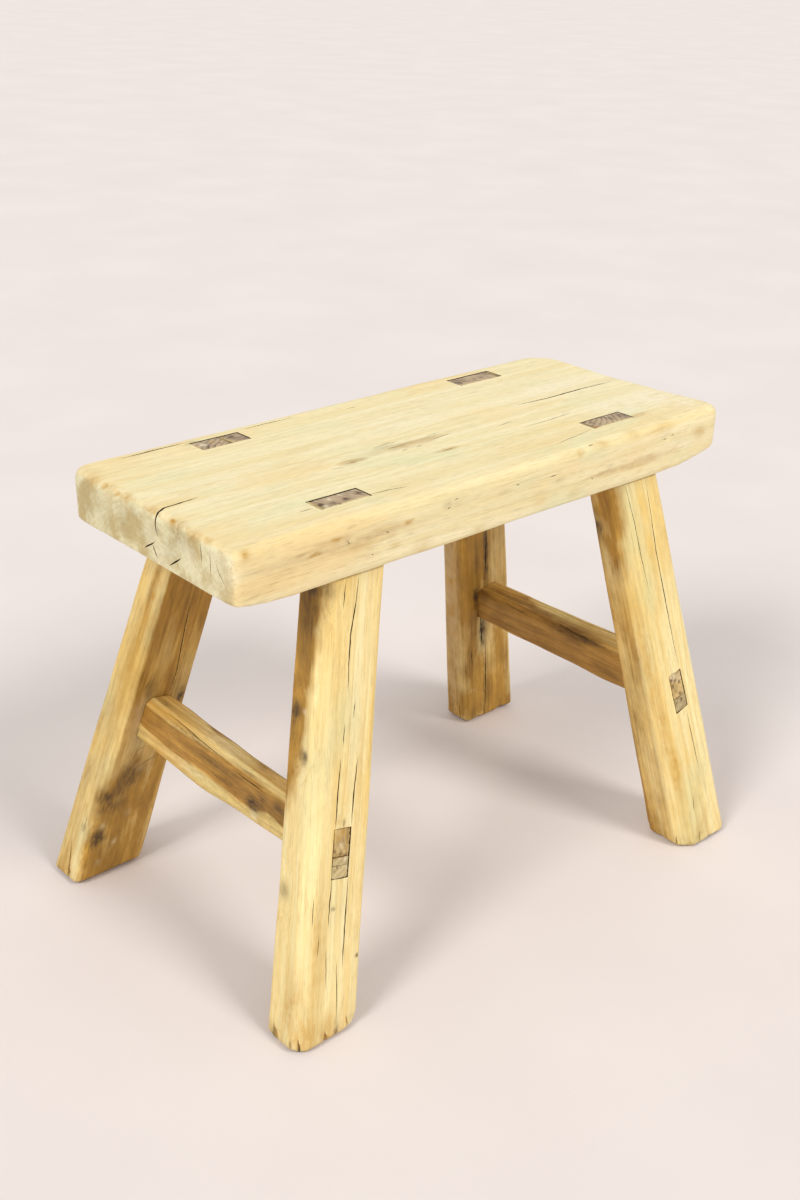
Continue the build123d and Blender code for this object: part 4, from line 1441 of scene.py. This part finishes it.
# %% The stretchers' own values, in mm
HEART_BAND = {"left": (-8.4, 4.8), "right": (-10.0, 30.0)}      # depth of its top and bottom
STRETCHER_PITH = {"left": (13.0, -3.0), "right": (10.0, -14.0)}
STRETCHER_VOXEL = 0.95
TENON_HALF_WIDTH = 9.0
BELLY = {"left": 2.8, "right": 0.6}    # how far the lower edge hangs
BELLY_SHARE, BELLY_LENGTH = 0.56, 30.0
WAVE_HEIGHT, FINE_HEIGHT = 1.3, 0.35
CORNER_REACH, NEAR_REACH = 1.6, 7.0    # how far painted shade reaches from a leg
SHADE_IN_CORNER, SHADE_NEAR_LEG = 0.7, 0.3         # how strong that painted shade is


# %% Stretchers
def make_stretcher(side):
    """One stretcher: split wood between its shoulders, and still on its tenons."""
    node = f"stretcher_{side}"
    start, axes = frame_line[node][0], grain_axes(frame_axis[node], (1, 0, 0))
    cad = (points_of(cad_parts[node].data) - start) @ axes.T
    thick = cad[np.abs(cad[:, 1] - np.median(cad[:, 1])) > TENON_HALF_WIDTH][:, 0]
    from_front, to_back = thick.min(), thick.max()
    belly_centre = from_front + BELLY_SHARE * (to_back - from_front)

    def body_share(along):
        """1 on the stretcher between its shoulders, 0 on its tenons."""
        return (smooth_step(along, from_front + 1, from_front + 5)
                * smooth_step(to_back - along, 1, 5))

    def wear_stretcher(mesh):
        points = points_of(mesh)
        weight = 0.35 + 0.25 * lumps(points, size=25, seed=51)
        wear(mesh, rounds=14, weight=weight * body_share((points - start) @ axes[0]))

    def swell_stretcher(points, facing):
        grain = (points - start) @ axes.T
        along = (points - start) @ axes[0]
        wavy = WAVE_HEIGHT * lumps(grain, size=(30, 60, 60), seed=52)
        fine = FINE_HEIGHT * lumps(grain / (2.5, 1, 1), size=9, seed=53)
        lower = smooth_step(-facing[:, 2], low=0.1, high=0.8)
        belly = BELLY[side] * bell(along - belly_centre, BELLY_LENGTH)
        body = (wavy * (0.4 + 0.9 * lower) + fine + belly * lower) * body_share(along)
        outer = np.abs(facing @ axes[0]) > 0.7
        return np.where(outer, unevenness(points, *TENON_SWELL), body)

    def heart_of_stretcher(points, grain, facing):
        low, high = HEART_BAND[side]
        depth, wave = grain[:, 2], lumps(grain / (2.2, 1, 1), size=11, seed=54)
        return (smooth_step(depth + 1.5 * wave, low - 1.5, low + 1.5)
                * smooth_step(high - depth - 6.0 * wave, low=-1.2, high=1.2)
                * (0.85 + 0.3 * lumps(grain / (9, 1, 1), size=5, seed=55)))

    def shade_at_stretcher_joints(points, facing):
        """Painted shade darkens the corners where the stretcher meets its legs."""
        along = (points - start) @ axes[0]
        from_leg = np.minimum(along - from_front, to_back - along)
        return (SHADE_IN_CORNER * bell(from_leg, CORNER_REACH)
                + SHADE_NEAR_LEG * bell(from_leg, NEAR_REACH))

    piece = worn_piece(f"{node}_split", node, STRETCHER_VOXEL, wear_stretcher,
                       swell_stretcher, cracks=STRETCHER_CRACKS[side])
    dress(piece, start, axes, STRETCHER_PITH[side], STRETCHER_STAINS[side],
          shade_at_stretcher_joints, STRETCHER_KNOTS[side], heart_of_stretcher)
    finish_piece(piece, node, stretcher_elm)


for side in ("left", "right"):
    make_stretcher(side)

# %% [markdown]
# ## The slips
# Each slip was knocked into what a mortise or a split tenon left open, and sawn
# off flush. They are small, so they get a finer skin. Each has a shade of its
# own, because each is a different scrap.

# %% How brown and how dirty each slip is, and the marks on its end
SLIP_TONES = {
    "seat_wedge_front_left": (0.10, 0.10), "seat_wedge_front_right": (0.25, 0.62),
    "seat_wedge_back_left": (0.30, 0.60), "seat_wedge_back_right": (0.25, 0.62),
    "stretcher_wedge_front_left_upper": (0.75, 0.20),
    "stretcher_wedge_front_left_lower": (0.05, 0.0),
    "stretcher_wedge_front_right": (0.50, 0.42),
    "stretcher_wedge_back_left": (0.35, 0.20), "stretcher_wedge_back_right": (0.45, 0.25),
}
SLIP_STAINS = {
    "stretcher_wedge_front_left_upper": {
        DARK: [((349, 857), 2, 1.4, .9)],
        BLEACHED: [((345, 859), 2, 1.3, .8)],
    },
    "stretcher_wedge_front_left_lower": {
        DARK: [((337, 868), 2, .9, .8), ((341, 867), 2, .8, .7), ((334, 872), 2, .8, .6)],
    },
    "stretcher_wedge_front_right": {
        DARK: [((681, 699), 2, 1.9, .9), ((677, 703), 2, 1.6, .7)],
        BLEACHED: [((680, 705), 2, 1.8, .4)],
    },
    "seat_wedge_front_left": {
        BLEACHED: [((310, 501), 2, 2.4, .4)],
    },
}
SLIP_VOXEL = 0.55
SLIP_PITH = (7.0, -9.0)   # the first slip's: each next one lies a mm further out
EDGE_DIRT, SAW_RIPPLE = 0.7, 0.12


# %% Slips
def make_slip(number, node):
    """One slip, upright in a leg's tenon or level under a stretcher's."""
    upright_slip = node.startswith("seat")
    through = np.array((0, 0, 1.0)) if upright_slip else np.array((0, 1.0, 0))
    first, last = ends_of(node, 2 if upright_slip else 1)
    brown, dirt = SLIP_TONES[node]

    def wear_slip(mesh):
        wear(mesh, rounds=5, weight=0.4)

    def swell_slip(points, facing):
        ripple = SAW_RIPPLE * lumps(points, size=2.5, seed=61)
        sawn = unevenness(points, *SEAT_SWELL) + ripple
        return np.where(np.abs(facing @ through) > 0.7, sawn, 0.0)

    def grime_of_slip(points, facing):
        """Dirt over the whole slip, and more along its edges, where it lies in the joint."""
        edge = smooth_step(1 - np.abs(facing @ through), low=0.06, high=0.5)
        return np.maximum(dirt, EDGE_DIRT * edge)

    def heart_of_slip(points, grain, facing):
        return np.full(len(points), brown)

    axes = grain_axes((last - first) / np.linalg.norm(last - first),
                      (1, 0, 0) if upright_slip else (0, 0, 1))
    piece = worn_piece(f"{node}_slip", node, SLIP_VOXEL, wear_slip, swell_slip)
    dress(piece, first, axes, (SLIP_PITH[0] + number, SLIP_PITH[1]),
          SLIP_STAINS.get(node, {}), grime_of_slip, heart=heart_of_slip)
    finish_piece(piece, node, slip_wood)


for number, node in enumerate(sorted(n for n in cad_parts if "wedge" in n)):
    make_slip(number, node)
